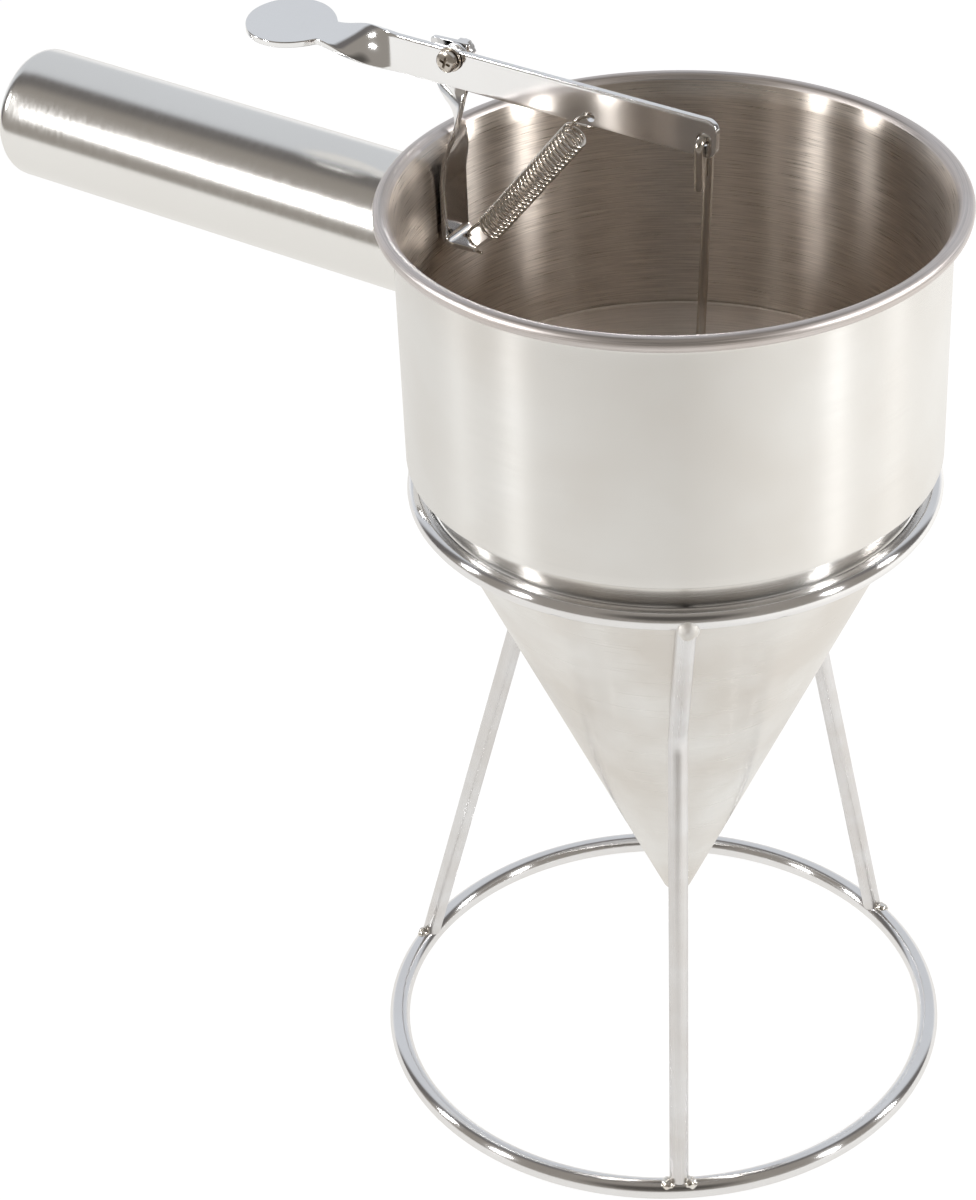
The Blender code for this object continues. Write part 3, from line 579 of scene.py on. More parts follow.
def steel(name):
    """Bare steel with fine marks along or round the piece, by its row in FINISHES. It is made only once."""
    if name in bpy.data.materials:
        return bpy.data.materials[name]
    row = FINISHES[name]
    colour = getattr(bpy.context.scene.fondant_funnel.finish, row.colour)
    made, tree, shader = paint(name)
    plan = add(tree, "UVMap", uv_map="UVMap").outputs[0]
    fine = add(tree, "Mapping", {"Vector": plan, "Scale": (*row.marks, 1.0)}).outputs[0]
    mark = noise(tree, fine, 1.0, {"Roughness": 0.6})
    slow = noise(tree, add(tree, "TexCoord").outputs["Object"], row.scale, {})
    level = ranged(tree, mark, 0.3, 0.7, max(row.roughness - row.spread, 0.0), row.roughness + row.spread)
    clean = ranged(tree, slow, 0.35, 0.65, 0.0, 1.0)
    dull = [part * (1 - row.cloud * share) for part, share in zip(colour, (0.8, 1.0, 1.2))]
    tone = mixed(tree, clean, (*dull, 1.0), (*colour, 1.0))
    line = ranged(tree, mark, 0.35, 0.65, 1.0 - row.lines, 1.0)
    lined = add(tree, "VectorMath", {0: tone, "Scale": line}, operation="SCALE").outputs[0]
    bump = add(tree, "Bump", {"Height": mark, "Strength": 1.0, "Distance": row.depth * 0.001}).outputs[0]
    for socket, value in (("Base Color", lined), ("Roughness", level), ("Normal", bump)):
        tree.links.new(value, shader.inputs[socket])
    shader.inputs["Metallic"].default_value = 1.0
    if row.grain:
        along = add(tree, "Tangent", direction_type="UV_MAP", uv_map="UVMap").outputs[0]
        tree.links.new(along, shader.inputs["Tangent"])
        shader.inputs["Anisotropic"].default_value = row.grain
        shader.inputs["Anisotropic Rotation"].default_value = row.lean
    return made


def wall_top(bowl):
    """The outer radius of the bowl's wall under the bead."""
    return RIM_R - bowl.bead_radius - bowl.bead_out


def wall_radius(bowl, height):
    """The bowl's outer radius at a height: it widens evenly by the taper."""
    share_up = (height - BOWL_LOW[2]) / (BOWL_HIGH[2] - bowl.bead_radius - BOWL_LOW[2])
    return wall_top(bowl) - bowl.taper * (1 - share_up)


def collar_corner(settings):
    """Radius and height of the corner between the cone's outer face and its collar."""
    bowl, cone = settings.bowl, settings.cone
    radius = wall_radius(bowl, BOWL_LOW[2]) - bowl.wall - cone.collar_gap
    return radius, BOWL_LOW[2] + cone.collar_foot


def cone_line(settings):
    """How fast the cone's outer face widens, the height of its point, and its length for each metre up."""
    outlet = settings.cone.outlet_radius
    radius, height = collar_corner(settings)
    slope = (radius - outlet) / (height - CONE_LOW[2])
    return slope, CONE_LOW[2] - outlet / slope, math.sqrt(1 + slope**2)


class FUNNEL_OT_bowl(bpy.types.Operator):
    """Bowl with its rolled rim: a closed profile of wall, flare and bead, turned about the axis"""

    bl_idname = "funnel.bowl"
    bl_label = "Bowl"

    def execute(self, context):
        settings = context.scene.fondant_funnel
        bowl = settings.bowl
        low, wall, soft = BOWL_LOW[2], bowl.wall, bowl.foot_edge
        bead = np.array([RIM_R - bowl.bead_radius, BOWL_HIGH[2] - bowl.bead_radius])
        root = bead[1] - bowl.bead_root
        top, foot = wall_radius(bowl, root), wall_radius(bowl, low)
        curl = arc(bead, bowl.bead_radius, 112, -150, 40)
        from_wall, into_bead = (0.0, 0.0055), (0.0045, 0.0019)
        flare = sweep_between((top - wall, root), from_wall, curl[0], into_bead, 16)
        fold, down_wall = math.radians(22), (0.0, -0.003)
        from_bead = np.array([-math.sin(fold), -math.cos(fold)]) * 0.004
        outer_flare = sweep_between(curl[-1] - [0.00012, 0.0002], from_bead, (top, root), down_wall, 10)
        heights = np.linspace(root, low + soft, 25)[1:-1]
        outer = pairs(wall_radius(bowl, heights), heights)
        inner = outer[::-1] - [wall, 0.0]
        edge = arc((foot - soft, low + soft), soft, 0, -90, 5)
        inner_edge = [(foot - wall + 0.0001, low), (foot - wall, low + 0.0001)]
        profile = np.concatenate([inner, flare, curl[1:], outer_flare, outer, edge, inner_edge])
        piece = surface("bowl_shell", turned(profile, bowl.steps), loop=True)
        dress(piece, "funnel", ["bowl_outside", "bowl_inside", "rolled_rim"], "bowl_steel", "bowl")
        row = np.arange(len(profile))
        rim_start, rim_end = len(inner) + 10, len(inner) + len(flare) + len(curl) - 2
        inside = (row < rim_start) | (row >= len(profile) - 2)
        dress_rows(piece, np.where(inside, 1, np.where(row < rim_end, 2, 0)), bowl.steps)
        return {"FINISHED"}


class FUNNEL_OT_cone(bpy.types.Operator):
    """Cone spout with the collar that laps inside the bowl: a closed profile turned about the axis"""

    bl_idname = "funnel.cone"
    bl_label = "Cone spout"

    def execute(self, context):
        settings = context.scene.fondant_funnel
        wall, bend = settings.bowl.wall, settings.cone.bend
        top, low, soft = CONE_HIGH[2], CONE_LOW[2], 0.00025
        slope, point, slant = cone_line(settings)
        collar, bend_z = collar_corner(settings)
        ahead = np.array([slope, 1.0]) / slant

        def side(radius, corner_z, inset):
            corner = np.array([radius, corner_z])
            knee = sweep_between(corner - ahead * bend, ahead * bend, corner + [0, bend], (0, bend), 9)
            heights = np.linspace(low, corner_z - bend, 40)[:-1]
            line = pairs((heights - point) * slope - inset, heights)
            return np.concatenate([line, knee, [(radius, top - soft)]])

        inner_z = point + (collar - wall + wall * slant) / slope
        inside = side(collar - wall, inner_z, wall * slant)
        outside = side(collar, bend_z, 0.0)
        lip = [(collar - wall + soft, top), (collar - soft, top)]
        profile = np.concatenate([inside, lip, outside[::-1]])
        piece = surface("cone_shell", turned(profile, settings.bowl.steps), loop=True)
        dress(piece, "funnel", ["cone_outside", "cone_inside"], "cone_steel", "cone_spout")
        dress_rows(piece, np.arange(len(profile)) <= len(inside), settings.bowl.steps)
        return {"FINISHED"}


def saddle(settings, radius, a):
    """How far along the handle the line of its tube at angle a meets the wall, as far from the axis over the
    floor as the wall is."""
    wall, rise = wall_top(settings.bowl), settings.handle.rise
    across, up = radius * np.sin(a), radius * np.cos(a)
    return (np.sqrt(wall**2 - across**2) - wall + up * math.sin(rise)) / math.cos(rise)


class FUNNEL_OT_handle(bpy.types.Operator):
    """Handle tube cut to the bowl's curve, its weld bead, and its closed, rounded end"""

    bl_idname = "funnel.handle"
    bl_label = "Handle"

    def execute(self, context):
        settings = context.scene.fondant_funnel
        handle, wall = settings.handle, settings.bowl.wall
        radius = (HANDLE_HIGH[1] - HANDLE_LOW[1]) / 2
        root = at(wall_top(settings.bowl), 0.0, BOWL_LOW[2] + handle.height)
        ahead = swung(OUT, UP, handle.rise)
        a = all_round(192)
        around = swung(np.cross(SIDE, ahead), SIDE, a[:, None])

        def rings(r, edge, end):
            curve = arc((r - edge, end - edge), edge, 0, 90, 9)[1:]
            start = saddle(settings, r, a)
            body = start + (end - edge - start) * np.linspace(0.0, 1.0, 30)[:, None]
            closing = np.linspace(r - edge, 0.0, 8)[1:]
            radii = np.concatenate([np.full(len(body), r), curve[:, 0], closing])
            tail = np.concatenate([curve[:, 1], np.full(len(closing), end)])
            heights = np.concatenate([body, np.repeat(tail[:, None], len(a), axis=1)])
            return root + heights[..., None] * ahead + radii[:, None, None] * around

        outer = rings(radius, handle.edge, handle.length)
        inner = rings(radius - wall, handle.edge - wall, handle.length - wall)
        piece = surface("handle_grip", np.concatenate([outer, inner[::-1]]), loop=True, poles=True)
        dress(piece, "funnel", ["handle_polish"], "handle_steel", "handle_tube")
        line = root + saddle(settings, radius, a)[:, None] * ahead + around * radius
        ripple = handle.weld * (1 + 0.1 * np.sin(46 * a) + 0.06 * np.sin(31 * a + 1.0))
        across = around, np.broadcast_to(ahead, line.shape)
        bead = surface("handle_weld", tube(line, ripple, 14, across), loop=True)
        dress(bead, "funnel", ["weld_bead"], "handle_steel")
        return {"FINISHED"}


def strip_line(lever, out):
    """Height of the lever's middle line."""
    return PIVOT[2] - lever.pivot_rise + lever.slope * (out - PIVOT_OUT)


def lever_half_width(lever, out, front, thumb):
    """Half the lever's width: a quarter round at the nose, then the strip, which fades as the disc's chord
    grows; the two join as the cube root of the sum of their cubes."""
    half = lever.height / 2
    drop = np.clip(lever.corner - (out - front), 0.0, lever.corner)
    strip = half - lever.corner + np.sqrt(lever.corner**2 - drop**2)
    strip = strip * (1 - eased(out, thumb - lever.thumb_radius, thumb - 0.0015))
    disc = np.sqrt(np.clip(lever.thumb_radius**2 - (out - thumb) ** 2, 0.0, None))
    return np.cbrt(strip**3 + disc**3)


def hook_hole(settings):
    """The place of the spring's hole in the lever."""
    out = PIVOT_OUT - settings.spring.arm
    return at(out, 0.0, strip_line(settings.lever, out) - settings.spring.drop)


class FUNNEL_OT_lever(bpy.types.Operator):
    """Lever: a bar on edge that twists flat and widens into the round thumb plate, with its three holes"""

    bl_idname = "funnel.lever"
    bl_label = "Lever"

    def execute(self, context):
        settings = context.scene.fondant_funnel
        lever = settings.lever
        front = AXIS[0] - ROD_HOLE[0] - lever.past_rod
        thumb = PIVOT_OUT + lever.thumb_arm
        twist_start, twist_end = PIVOT_OUT + lever.twist_start, thumb - lever.twist_margin
        nose = front + quarter(lever.corner, 10)
        strip = np.linspace(nose[-1], twist_start, 12)[1:]
        neck = np.linspace(twist_start, thumb - lever.thumb_radius, 56)[1:]
        disc = thumb - lever.thumb_radius * np.cos(np.radians(np.linspace(0, 177, 80)))[1:]
        out = np.concatenate([nose, strip, neck, disc])
        turned_by = lever.twist * eased(out, twist_start, twist_end)[:, None]
        rise, up = unit(OUT + UP * lever.slope), unit(UP - OUT * lever.slope)
        width = swung(up, SIDE, turned_by)
        half = lever_half_width(lever, out, front, thumb)
        centres = at(out, 0.0, strip_line(lever, out))
        grid = bar(centres, width, np.cross(rise, width), half, lever.thick / 2, lever.edge)
        piece = surface("lever_bar", grid, edge=40.0)
        drill(
            piece,
            (PIVOT, SIDE, lever.pivot_hole),
            (ROD_HOLE, SIDE, lever.rod_hole),
            (hook_hole(settings), SIDE, lever.spring_hole),
        )
        dress(piece, "lever_arm", ["lever_polish"], "lever_steel", "lever")
        return {"FINISHED"}


def plate_out(settings):
    """How far out the bracket's plate stands: its far edge is a gap short of the wall's inner face."""
    bracket, bowl = settings.bracket, settings.bowl
    edge = bracket.side + bracket.width / 2
    inner = wall_top(bowl) - bowl.wall
    return math.sqrt(inner**2 - edge**2) - settings.fixing.gap - bracket.thick / 2


def tab_hook(settings):
    """Middle of the spring's lower hook, as (out, side, height)."""
    bracket, spring = settings.bracket, settings.spring
    out = plate_out(settings) - bracket.tab + spring.hook - spring.wire - spring.clear
    return out, bracket.side, BOWL_HIGH[2] - bracket.tab_drop


class FUNNEL_OT_bracket(bpy.types.Operator):
    """Lever bracket: one bar with a foot tab, a plate up the wall, a quarter turn and the pivot ear"""

    bl_idname = "funnel.bracket"
    bl_label = "Lever bracket"

    def execute(self, context):
        settings = context.scene.fondant_funnel
        bracket, lever = settings.bracket, settings.lever
        plate = plate_out(settings)
        hook_out, side, tab_z = tab_hook(settings)
        ear_out, ear_top = PIVOT_OUT + bracket.ear_margin, PIVOT[2] + bracket.ear_rise
        corners = [
            at(plate - bracket.tab, side, tab_z),
            at(plate, side, tab_z),
            at(plate, side, tab_z + bracket.plate),
            at(plate - bracket.neck_in, side, tab_z + bracket.neck),
            at(ear_out, side, ear_top - bracket.ear),
            at(ear_out, side, ear_top),
        ]
        path = rounded(corners, (bracket.tab_bend, bracket.bend, bracket.bend, bracket.bend), 14)
        total, end = lengths_along(path)[-1], quarter(bracket.corner, 9)
        middle = np.linspace(end[-1], total - end[-1], 120)[1:-1]
        stations = np.concatenate([end, middle, total - end[::-1]])
        centres = read_along(path, stations)
        ahead = unit(np.gradient(centres, axis=0))
        turned_share = eased(centres[:, 2], tab_z + bracket.turn_start, ear_top - bracket.turn_end)
        turned_by = math.pi / 2 * turned_share[:, None]
        width = swung(SIDE, np.cross(ahead, SIDE), turned_by)
        to_end = np.clip(np.minimum(stations, total - stations), 0.0, bracket.corner)
        cut = np.sqrt(bracket.corner**2 - (bracket.corner - to_end) ** 2)
        half = bracket.width / 2 - bracket.corner + cut
        grid = bar(centres, width, np.cross(ahead, width), half, bracket.thick / 2, bracket.edge)
        piece = surface("bracket_bar", grid, edge=40.0)
        drill(
            piece,
            (PIVOT + SIDE * side, SIDE, lever.pivot_hole),
            (at(hook_out + settings.spring.hook, side, tab_z), UP, lever.spring_hole),
        )
        dress(piece, "funnel", ["bracket_polish"], "bracket_steel", "lever_bracket")
        return {"FINISHED"}


def hook(middle, side, ahead, spring, turned_by):
    """An arc from the side on over the far end, with a short straight tail."""
    a = np.radians(np.linspace(0.0, turned_by, 40))[:, None]
    ring = middle + swung(side, ahead, a) * spring.hook
    tail = ring[-1] + unit(ring[-1] - ring[-2]) * 2 * spring.wire
    return np.concatenate([ring, tail[None]])


def joined(start, start_way, end, end_way):
    """The curve between the coil and a hook, without its ends."""
    reach = np.linalg.norm(end - start)
    return sweep_between(start, start_way * reach, end, end_way * reach, 14)[1:-1]


class FUNNEL_OT_spring(bpy.types.Operator):
    """Return spring: a close helix with a hook at each end, one through the lever and one in the tab"""

    bl_idname = "funnel.spring"
    bl_label = "Return spring"

    def execute(self, context):
        settings = context.scene.fondant_funnel
        spring = settings.spring
        hole, foot = hook_hole(settings), at(*tab_hook(settings))
        down = unit(foot - hole)
        across = unit(SIDE - down * (SIDE @ down))
        plane = np.cross(down, across)
        upper = hole + down * spring.hook
        top = upper + down * (spring.hook + spring.upper_run)
        last = foot - down * (spring.hook + spring.lower_run)
        turns = np.linspace(0.0, spring.turns, int(spring.turns * 28) + 1)
        a = (2 * math.pi * turns + math.pi)[:, None]
        coil = top + (last - top) * (turns / spring.turns)[:, None]
        coil = coil + swung(plane, across, a) * spring.coil
        ways = swung(across, -plane, a)
        first_hook = hook(upper, swung(across, plane, spring.hook_lean), -down, spring, 250.0)
        last_hook = hook(foot, -plane, down, spring, 130.0)
        first_join = joined(coil[0], -ways[0], first_hook[0], -down)
        last_join = joined(coil[-1], ways[-1], last_hook[0], down)
        path = np.concatenate([first_hook[::-1], first_join[::-1], coil, last_join, last_hook])
        path, radii = softened(path, spring.wire, spring.wire * 0.5, 0.00078)
        piece = surface("spring_coil", tube(path, radii, 12))
        piece.data.materials.append(steel("spring_wire"))
        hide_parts("return_spring")
        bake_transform(piece)
        return {"FINISHED"}


def ring_profile(sizes, low, high):
    """A washer's section with rounded edges outside."""
    soft, bore = min(0.00014, (high - low) * 0.3), sizes.shank + sizes.gap
    upper = arc((sizes.washer - soft, high - soft), soft, 90, 0, 5)
    lower = arc((sizes.washer - soft, low + soft), soft, 0, -90, 5)
    return np.concatenate([upper, lower, [(bore, low), (bore, high)]])


def nut_grid(sizes, foot):
    """A hexagon's radius at angle a is half the flats over the cosine of the angle from the nearest flat. A
    cone cuts the corners at both faces."""
    a, sixth, half = all_round(96), math.pi / 6, sizes.nut / 2
    flat = half / np.cos((a + sixth) % (2 * sixth) - sixth)
    bore = np.full(len(a), sizes.shank + sizes.gap)
    cut, middle, top = 0.00025, sizes.nut_height / 2, sizes.nut_height
    depth = np.array([0.0, cut, middle, top - cut, top, top, 0.0])[:, None, None]
    faces = [np.minimum(flat, half), np.minimum(flat, half + 0.0006)]
    radius = np.stack([*faces, flat, *faces[::-1], bore, bore])[..., None]
    return PIVOT + SIDE * (foot + depth) + swung(UP, OUT, a[:, None]) * radius


def cut_recess(screw, top, way, sizes):
    """Takes a cross of two tapered bars out of the screw's head."""
    across = unit(np.cross(way, UP))
    depth = np.array([0.0003, 0.0, -0.0011])[:, None, None]
    size = np.array([1.0, 1.0, 0.55])[:, None, None]
    square = np.array([(1, 1), (-1, 1), (-1, -1), (1, -1)])
    cutters = []
    for k in range(2):
        long = swung(across, UP, math.radians(20 + 90 * k))
        wide = np.cross(way, long)
        section = long * sizes.recess * square[:, :1] + wide * sizes.recess_half * square[:, 1:]
        cutters.append(surface(f"recess_{k}", top + way * depth + size * section))
    cut_away(screw, cutters)


class FUNNEL_OT_fixings(bpy.types.Operator):
    """Pivot screw with its cross recess, the washer under its head, the spacer and the nut"""

    bl_idname = "funnel.fixings"
    bl_label = "Pivot fixings"

    def execute(self, context):
        settings = context.scene.fondant_funnel
        sizes, bracket = settings.fixing, settings.bracket
        near, shank, edge = -SIDE, sizes.shank, 0.00035
        washer = settings.lever.thick / 2 + sizes.gap
        washer_top = washer + sizes.washer_thick
        head = washer_top + sizes.gap
        ear_face = bracket.side - bracket.thick / 2
        nut = ear_face + bracket.thick + sizes.gap
        end = nut + sizes.nut_height + sizes.tail
        dome = np.radians(np.linspace(90, 25, 12))
        fall = sizes.crown * (1 - np.sin(dome)) / (1 - math.sin(dome[-1]))
        groove = 0.0001 * (np.arange(60) % 4 // 2)
        profile = np.concatenate([
            pairs(sizes.head * np.cos(dome) / math.cos(dome[-1]), head + sizes.head_height - fall),
            arc((sizes.head - edge, head + edge), edge, 0, -90, 4),
            [(shank, head)],
            pairs(shank - groove, np.linspace(-washer, 0.0004 - end, 60)),
            [(shank - 0.0003, -end), (0.0, -end)],
        ])
        screw = surface("pivot_screw_body", turned(profile, 64, PIVOT, near), poles=True)
        cut_recess(screw, PIVOT + near * (head + sizes.head_height), near, sizes)
        dress(screw, "funnel", ["screw_dark"], "screw_steel", "pivot_screw")
        layers = (
            ("head_washer", "screw_washer", washer, washer_top, "screw_dark"),
            ("ear_spacer", "spacer_washer", sizes.gap - ear_face, -washer, "nut_bright"),
        )
        for name, node, low, high, finish in layers:
            piece = surface(name, turned(ring_profile(sizes, low, high), 72, PIVOT, near), loop=True)
            dress(piece, "funnel", [finish], "screw_steel", node)
        piece = surface("lock_nut", nut_grid(sizes, nut), loop=True, edge=25.0)
        dress(piece, "funnel", ["nut_bright"], "screw_steel", "pivot_nut")
        return {"FINISHED"}


def stopper_profile(settings):
    """The stopper's section: the rod's socket, a neck, a shoulder, the seat along the cone, and a tip."""
    sizes, wall, gap = settings.plunger, settings.bowl.wall, settings.fixing.gap
    slope, point, slant = cone_line(settings)
    wide, neck, soft = (TIP_HIGH[0] - TIP_LOW[0]) / 2, sizes.neck, 0.0002
    seat = gap * slant + 0.00003
    wide_z = point + (wide + seat + wall * slant) / slope
    outlet = (CONE_LOW[2] - point) * slope - wall * slant - seat, CONE_LOW[2]
    top, bore = TIP_HIGH[2], sizes.radius + gap
    shoulder = wide - soft, wide_z + 0.0014
    return np.concatenate([
        [(0.0, top - sizes.socket), (bore, top - sizes.socket), (bore, top)],
        arc((neck - 2 * soft, top - 2 * soft), 2 * soft, 90, 0, 6),
        sweep_between((neck, wide_z + 0.0045), (0.0, -0.002), shoulder, (0.002, -0.002), 9),
        arc((wide - soft, wide_z + 0.001), soft, 60, 0, 4),
        [(wide, wide_z + 0.0001), outlet],
        sweep_between(outlet, (-0.0004, -0.0012), (0.0, TIP_LOW[2]), (-0.004, 0.0), 10)[1:],
    ])


class FUNNEL_OT_plunger(bpy.types.Operator):
    """Plunger rod hooked over the lever, and the stopper on its foot"""

    bl_idname = "funnel.plunger"
    bl_label = "Plunger"

    def execute(self, context):
        settings = context.scene.fondant_funnel
        sizes = settings.plunger
        hole_out = AXIS[0] - ROD_HOLE[0]
        corners = [
            at(hole_out, -sizes.leg, ROD_HOLE[2] - sizes.short_leg),
            at(hole_out, -sizes.leg, ROD_HOLE[2]),
            at(hole_out, sizes.leg, ROD_HOLE[2]),
            at(0.0, 0.0, TIP_HIGH[2] + 0.002),
            at(0.0, 0.0, TIP_HIGH[2] - 0.011),
        ]
        path = rounded(corners, (sizes.bend, sizes.bend, sizes.ease), 16)
        path, radii = softened(path, sizes.radius, 0.0004, 0.0009)
        rod = surface("plunger_wire", tube(path, radii, 20))
        dress(rod, "plunger", ["rod_polish"], "rod_steel", "plunger_rod")
        tip = surface("plunger_stopper", turned(stopper_profile(settings), 64), poles=True)
        dress(tip, "plunger", ["stopper_satin"], "tip_steel", "plunger_tip")
        return {"FINISHED"}


def ring_sizes(low, high):
    """From a ring's box: its radius to the wire's middle, the wire's radius and its height."""
    wire = (high[2] - low[2]) / 2
    return (high[0] - low[0]) / 2 - wire, wire, (high[2] + low[2]) / 2


def ring_grid(middle, radius, wire, height, steps, sides=28):
    """A torus: place j of station i is at radius + wire cos b over the floor and height + wire sin b up."""
    a, b = all_round(steps)[:, None, None], all_round(sides)[:, None]
    return middle + (radius + wire * np.cos(b)) * toward(a, 0.0) + UP * (height + wire * np.sin(b))


def lump(place, ahead, sizes, seed, knobbly=1.0):
    """A drop of weld: an oval whose radius grows by sine waves round it, which fade at its two ends."""
    side = unit(np.cross(ahead, SIDE if abs(ahead[1]) < 0.8 else UP))
    other = np.cross(side, ahead)
    a, b = all_round(28)[:, None], np.linspace(0.0, math.pi, 20)[:, None, None]
    wave = 0.13 * np.sin(3 * a + seed) * np.sin(2 * b + seed) + 0.09 * np.sin(5 * a - seed) * np.sin(6 * b)
    size = 1 + knobbly * wave * np.sin(b) ** 2
    across = side * sizes[0] * np.cos(a) + other * sizes[1] * np.sin(a)
    return place + size * (across * np.sin(b) + ahead * sizes[2] * np.cos(b))


LEGS = {"front": (-57.4, -59.4, -56.7), "left": (184.3, 184.3, 185.5), "right": (68.3, 68.3, 64.2)}


class FUNNEL_OT_stand(bpy.types.Operator):
    """Stand: two bright rings and three bent legs, whose bearings at head, knee and foot are in LEGS"""

    bl_idname = "funnel.stand"
    bl_label = "Stand"

    def execute(self, context):
        settings = context.scene.fondant_funnel
        sizes = settings.stand
        top_radius, top_wire, top_z = ring_sizes(RING_LOW, RING_HIGH)
        base_radius, base_wire, base_z = ring_sizes(BASE_LOW, BASE_HIGH)
        rings = (
            ("top_hoop", "stand_top_ring", AXIS, top_radius, top_wire, top_z),
            ("base_hoop", "stand_base_ring", BASE_MIDDLE, base_radius, base_wire, base_z),
        )
        for name, node, *places in rings:
            piece = surface(name, ring_grid(*places, sizes.steps), loop=True)
            dress(piece, "stand", ["ring_chrome"], "ring_steel", node)
        slope, point = cone_line(settings)[:2]
        knee_radius = (sizes.knee_height - point) * slope + sizes.knee_gap
        for name, bearings in LEGS.items():
            top, knee, foot = (toward(math.radians(bearing), 0.0) for bearing in bearings)
            head = AXIS + top * top_radius + UP * top_z
            bend = AXIS + knee * knee_radius + UP * sizes.knee_height
            base = BASE_MIDDLE + foot * base_radius + UP * base_z
            start = head + unit(bend - head) * (top_wire * 0.6)
            end = base + unit(bend - base) * (base_wire * 0.6)
            path = rounded([start, bend, end], (sizes.knee_radius,), 16)
            path, radii = softened(path, sizes.leg_radius, 0.0012, 0.002)
            piece = surface(f"leg_{name}", tube(path, radii, 24))
            dress(piece, "stand", ["leg_satin"], "leg_steel", f"stand_leg_{name}")
            seat = head + top_wire * (top * 0.68 - UP * 0.66)
            drop = lump(seat, unit(bend - head), (0.003, 0.003, 0.0028), bearings[0], 0.4)
            dress(surface(f"weld_{name}_top", drop, poles=True), "stand", ["weld_dull"], "leg_steel")
            along = np.cross(UP, foot)
            for side, sign in (("a", -1), ("b", 1)):
                spot = base + along * sign * sizes.weld_apart + base_wire * (UP * 0.78 + foot * 0.2)
                drop = lump(spot, along, (0.0017, 0.0021, 0.002), bearings[2] + sign)
                bead = surface(f"weld_{name}_foot_{side}", drop, poles=True)
                dress(bead, "stand", ["weld_bright"], "leg_steel")
        return {"FINISHED"}


def toward(bearing, height):
    """The direction at a bearing and a height, both angles."""
    return swung(swung(-OUT, SIDE, bearing), UP, height)


def ramp(tree, value, *stops):
    """Colours by value, each stop a place and a colour."""
    node = add(tree, "ValToRGB", {"Fac": value})
    while len(node.color_ramp.elements) < len(stops):
        node.color_ramp.elements.new(1.0)
    for element, (place, colour) in zip(node.color_ramp.elements, stops):
        element.position = place
        element.color = (*colour, 1.0)
    return node.outputs["Color"]


def table_paint(studio):
    """White table: seen or mirrored it is mostly a white glow, and in mirrors a painted light makes that
    glow brighter towards one side; it keeps some of the shadow."""
    made, tree, shader = paint("white_table")
    shader.inputs["Base Color"].default_value = (0.85, 0.85, 0.85, 1.0)
    shader.inputs["Roughness"].default_value = 0.9
    ray = add(tree, "LightPath")
    glow = add(tree, "Emission", {"Color": (*WHITE, 1.0), "Strength": studio.table_white})
    # Painted light: in mirrors the table's glow grows up to 1.3 times brighter towards one side.
    off = facing(tree, add(tree, "TexCoord").outputs["Object"], toward(studio.bearing + math.pi / 2, 0.0))
    near = ranged(tree, off, 0.08, 0.4, studio.table_mirrored, studio.table_mirrored * 1.3)
    warm = add(tree, "Emission", {"Color": (1.0, 0.98, 0.94, 1.0), "Strength": near})
    part = add(tree, "Math", {0: ray.outputs["Is Camera Ray"], 1: 0.72}, operation="MULTIPLY")
    other = add(tree, "Math", {0: ray.outputs["Is Glossy Ray"], 1: 0.8}, operation="MULTIPLY")
    mirrored = add(tree, "MixShader", {0: other.outputs[0], 1: shader.outputs[0], 2: warm.outputs[0]})
    seen = add(tree, "MixShader", {0: part.outputs[0], 1: mirrored.outputs[0], 2: glow.outputs[0]})
    tree.links.new(seen.outputs[0], tree.nodes["Material Output"].inputs["Surface"])
    return made


def studio_room(studio):
    """A room by direction. Behind the funnel is the backdrop, with a dark frame between it and the dim warm
    room. The camera's side is darker, and low down behind all is white. The camera itself sees white."""
    world = bpy.data.worlds.new("studio_room")
    world.use_nodes = True
    tree = world.node_tree
    tree.nodes.clear()
    way = add(tree, "TexCoord").outputs["Generated"]
    behind = facing(tree, way, toward(studio.bearing + math.pi, studio.backdrop_height))
    ahead = facing(tree, way, toward(studio.bearing, math.radians(33)))
    height = add(tree, "SeparateXYZ", {0: way}).outputs["Z"]
    dark = studio.dark
    walls = ramp(tree, behind, (0.16, studio.room), (0.30, dark), (0.48, dark), (0.60, studio.backdrop))
    figure = ramp(tree, ahead, (0.86, WHITE), (0.97, (0.3, 0.3, 0.3)))
    low = ramp(tree, height, (0.0, WHITE), (0.2, BLACK))
    rear = ramp(tree, behind, (0.55, BLACK), (0.75, WHITE))
    walls = mixed(tree, 1.0, walls, figure, "MULTIPLY")
    sweep = mixed(tree, 1.0, low, rear, "MULTIPLY")
    room = mixed(tree, sweep, walls, (0.95, 0.95, 0.95, 1.0))
    seen = mixed(tree, add(tree, "LightPath").outputs["Is Camera Ray"], room, (*WHITE, 1.0))
    glow = add(tree, "Background", {"Color": seen, "Strength": 1.0})
    add(tree, "OutputWorld", {"Surface": glow.outputs[0]})
    return world


def put(scene, name, data, side, up, back, place):
    """Adds a lamp or a camera that looks against back, with its own axes given."""
    obj = bpy.data.objects.new(name, data)
    matrix = np.eye(4)
    matrix[:3] = np.stack([side, up, back, place], axis=-1)
    obj.matrix_world = matrix.T.tolist()
    scene.collection.objects.link(obj)
    return obj


def place_lamp(scene, name, studio, bearing, part):
    """A tall oval lamp that looks at the bowl and gives pi times its area for each unit of brightness."""
    lamp = bpy.data.lights.new(name, "AREA")
    lamp.shape = "ELLIPSE"
    lamp.size = studio.lamp_width * (0.5 + part / 2)
    lamp.size_y = studio.lamp_height
    area = math.pi / 4 * lamp.size * lamp.size_y
    lamp.energy = part * studio.lamp_brightness * math.pi * area
    way = toward(bearing, studio.lamp_rise)
    side = unit(np.cross(UP, way))
    place = AXIS + UP * BOWL_LOW[2] + way * studio.lamp_distance
    put(scene, name, lamp, side, np.cross(way, side), way, place).visible_camera = False


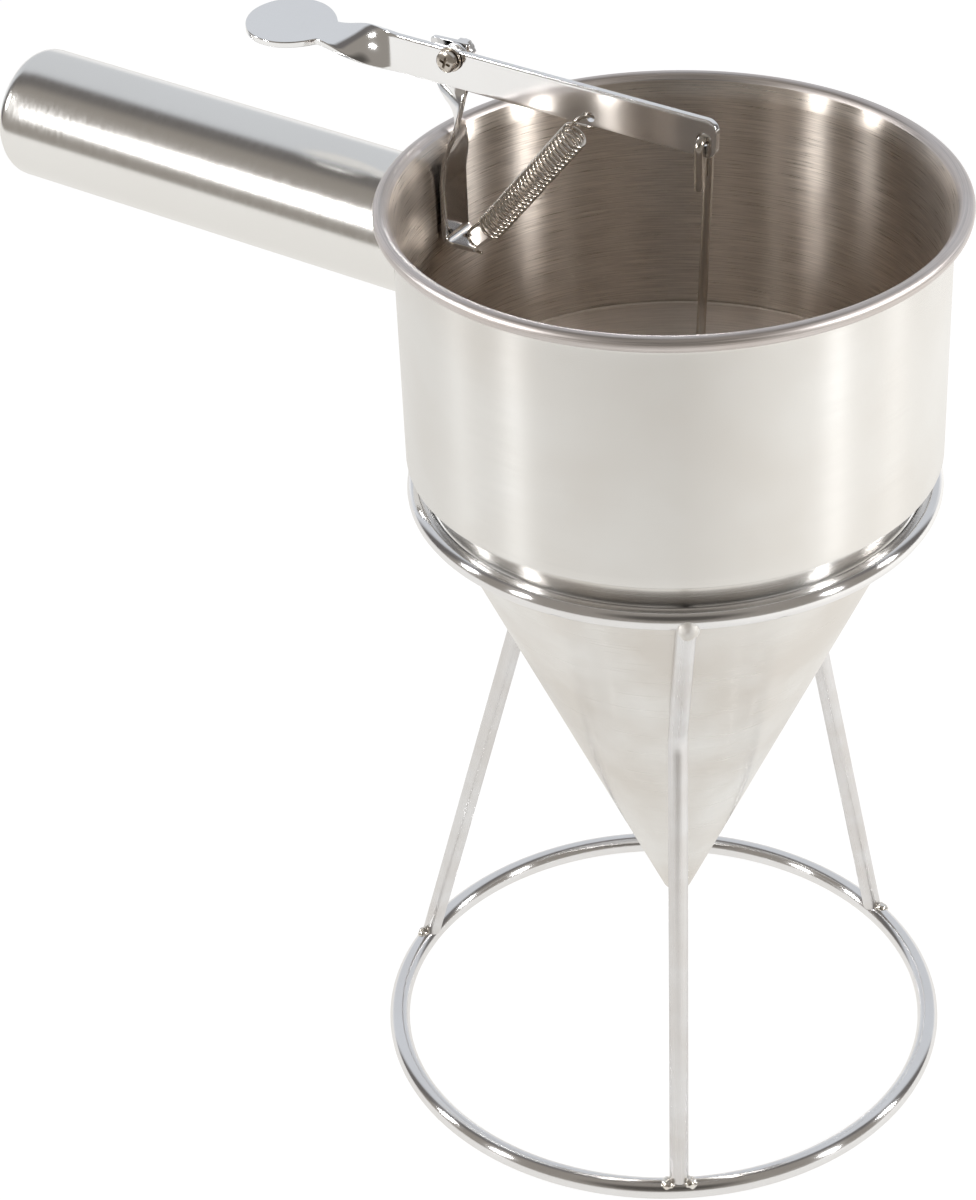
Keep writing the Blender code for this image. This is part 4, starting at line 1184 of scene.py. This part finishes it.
def place_camera(scene, studio):
    """The camera stands at its bearing and distance, looks along its pan and tilt, and leans by its roll."""
    look = toward(studio.pan, -studio.tilt)
    right = unit(np.cross(look, UP))
    up = np.cross(right, look)
    camera = bpy.data.cameras.new("camera")
    camera.lens = studio.lens
    camera.sensor_width = 36.0
    camera.sensor_fit = "AUTO"
    camera.clip_end = 50.0
    place = AXIS + toward(studio.bearing, 0.0) * studio.distance + UP * studio.height
    across, upward = swung(right, up, studio.roll), swung(up, -right, studio.roll)
    scene.camera = put(scene, "camera", camera, across, upward, -look, place)


# Each lamp's bearing from the camera's in degrees, and its share of the brightness.
LAMPS = {
    "left_rear": (-91, 0.7), "left_front": (-64, 1.0), "right_front": (65, 1.0), "right_rear": (95, 0.8),
}


class FUNNEL_OT_studio(bpy.types.Operator):
    """Pale floor, soft lamps, the room that the steel mirrors, and the camera"""

    bl_idname = "funnel.studio"
    bl_label = "Studio"

    def execute(self, context):
        scene = context.scene
        studio = scene.fondant_funnel.studio
        middle = AXIS - toward(studio.bearing, 0.0) * studio.floor_back
        edge = middle + toward(all_round(96)[:, None], 0.0) * studio.floor_radius
        table = bpy.data.meshes.new("white_table")
        table.from_pydata(edge.tolist(), [], [list(range(len(edge)))])
        table.materials.append(table_paint(studio))
        ground = bpy.data.objects.new("white_table", table)
        scene.collection.objects.link(ground)
        scene.world = studio_room(studio)
        for name, (bearing, part) in LAMPS.items():
            place_lamp(scene, name, studio, studio.bearing + math.radians(bearing), part)
        place_camera(scene, studio)
        scene.view_settings.view_transform = "Standard"
        return {"FINISHED"}


PIECES = (
    FUNNEL_OT_bowl, FUNNEL_OT_cone, FUNNEL_OT_handle, FUNNEL_OT_lever, FUNNEL_OT_bracket,
    FUNNEL_OT_spring, FUNNEL_OT_fixings, FUNNEL_OT_plunger, FUNNEL_OT_stand, FUNNEL_OT_studio,
)


class FUNNEL_PT_panel(bpy.types.Panel):
    """Lists the builders of the funnel's pieces"""

    bl_idname = "FUNNEL_PT_panel"
    bl_label = "Fondant Funnel"
    bl_space_type = "VIEW_3D"
    bl_region_type = "UI"
    bl_category = "Funnel"

    def draw(self, context):
        for piece in PIECES:
            self.layout.operator(piece.bl_idname)


GROUPS = (
    BowlSizes, ConeSizes, HandleSizes, LeverSizes, BracketSizes, FixingSizes, SpringSizes, PlungerSizes,
    StandSizes, Finishes, StudioSettings, FunnelSettings,
)


def register():
    for made in GROUPS + PIECES + (FUNNEL_PT_panel,):
        bpy.utils.register_class(made)
    bpy.types.Scene.fondant_funnel = PointerProperty(type=FunnelSettings)


def unregister():
    del bpy.types.Scene.fondant_funnel
    for made in reversed(GROUPS + PIECES + (FUNNEL_PT_panel,)):
        bpy.utils.unregister_class(made)


def main():
    register()
    for piece in PIECES:
        group, name = piece.bl_idname.split(".")
        getattr(getattr(bpy.ops, group), name)()


if __name__ == "__main__":
    main()
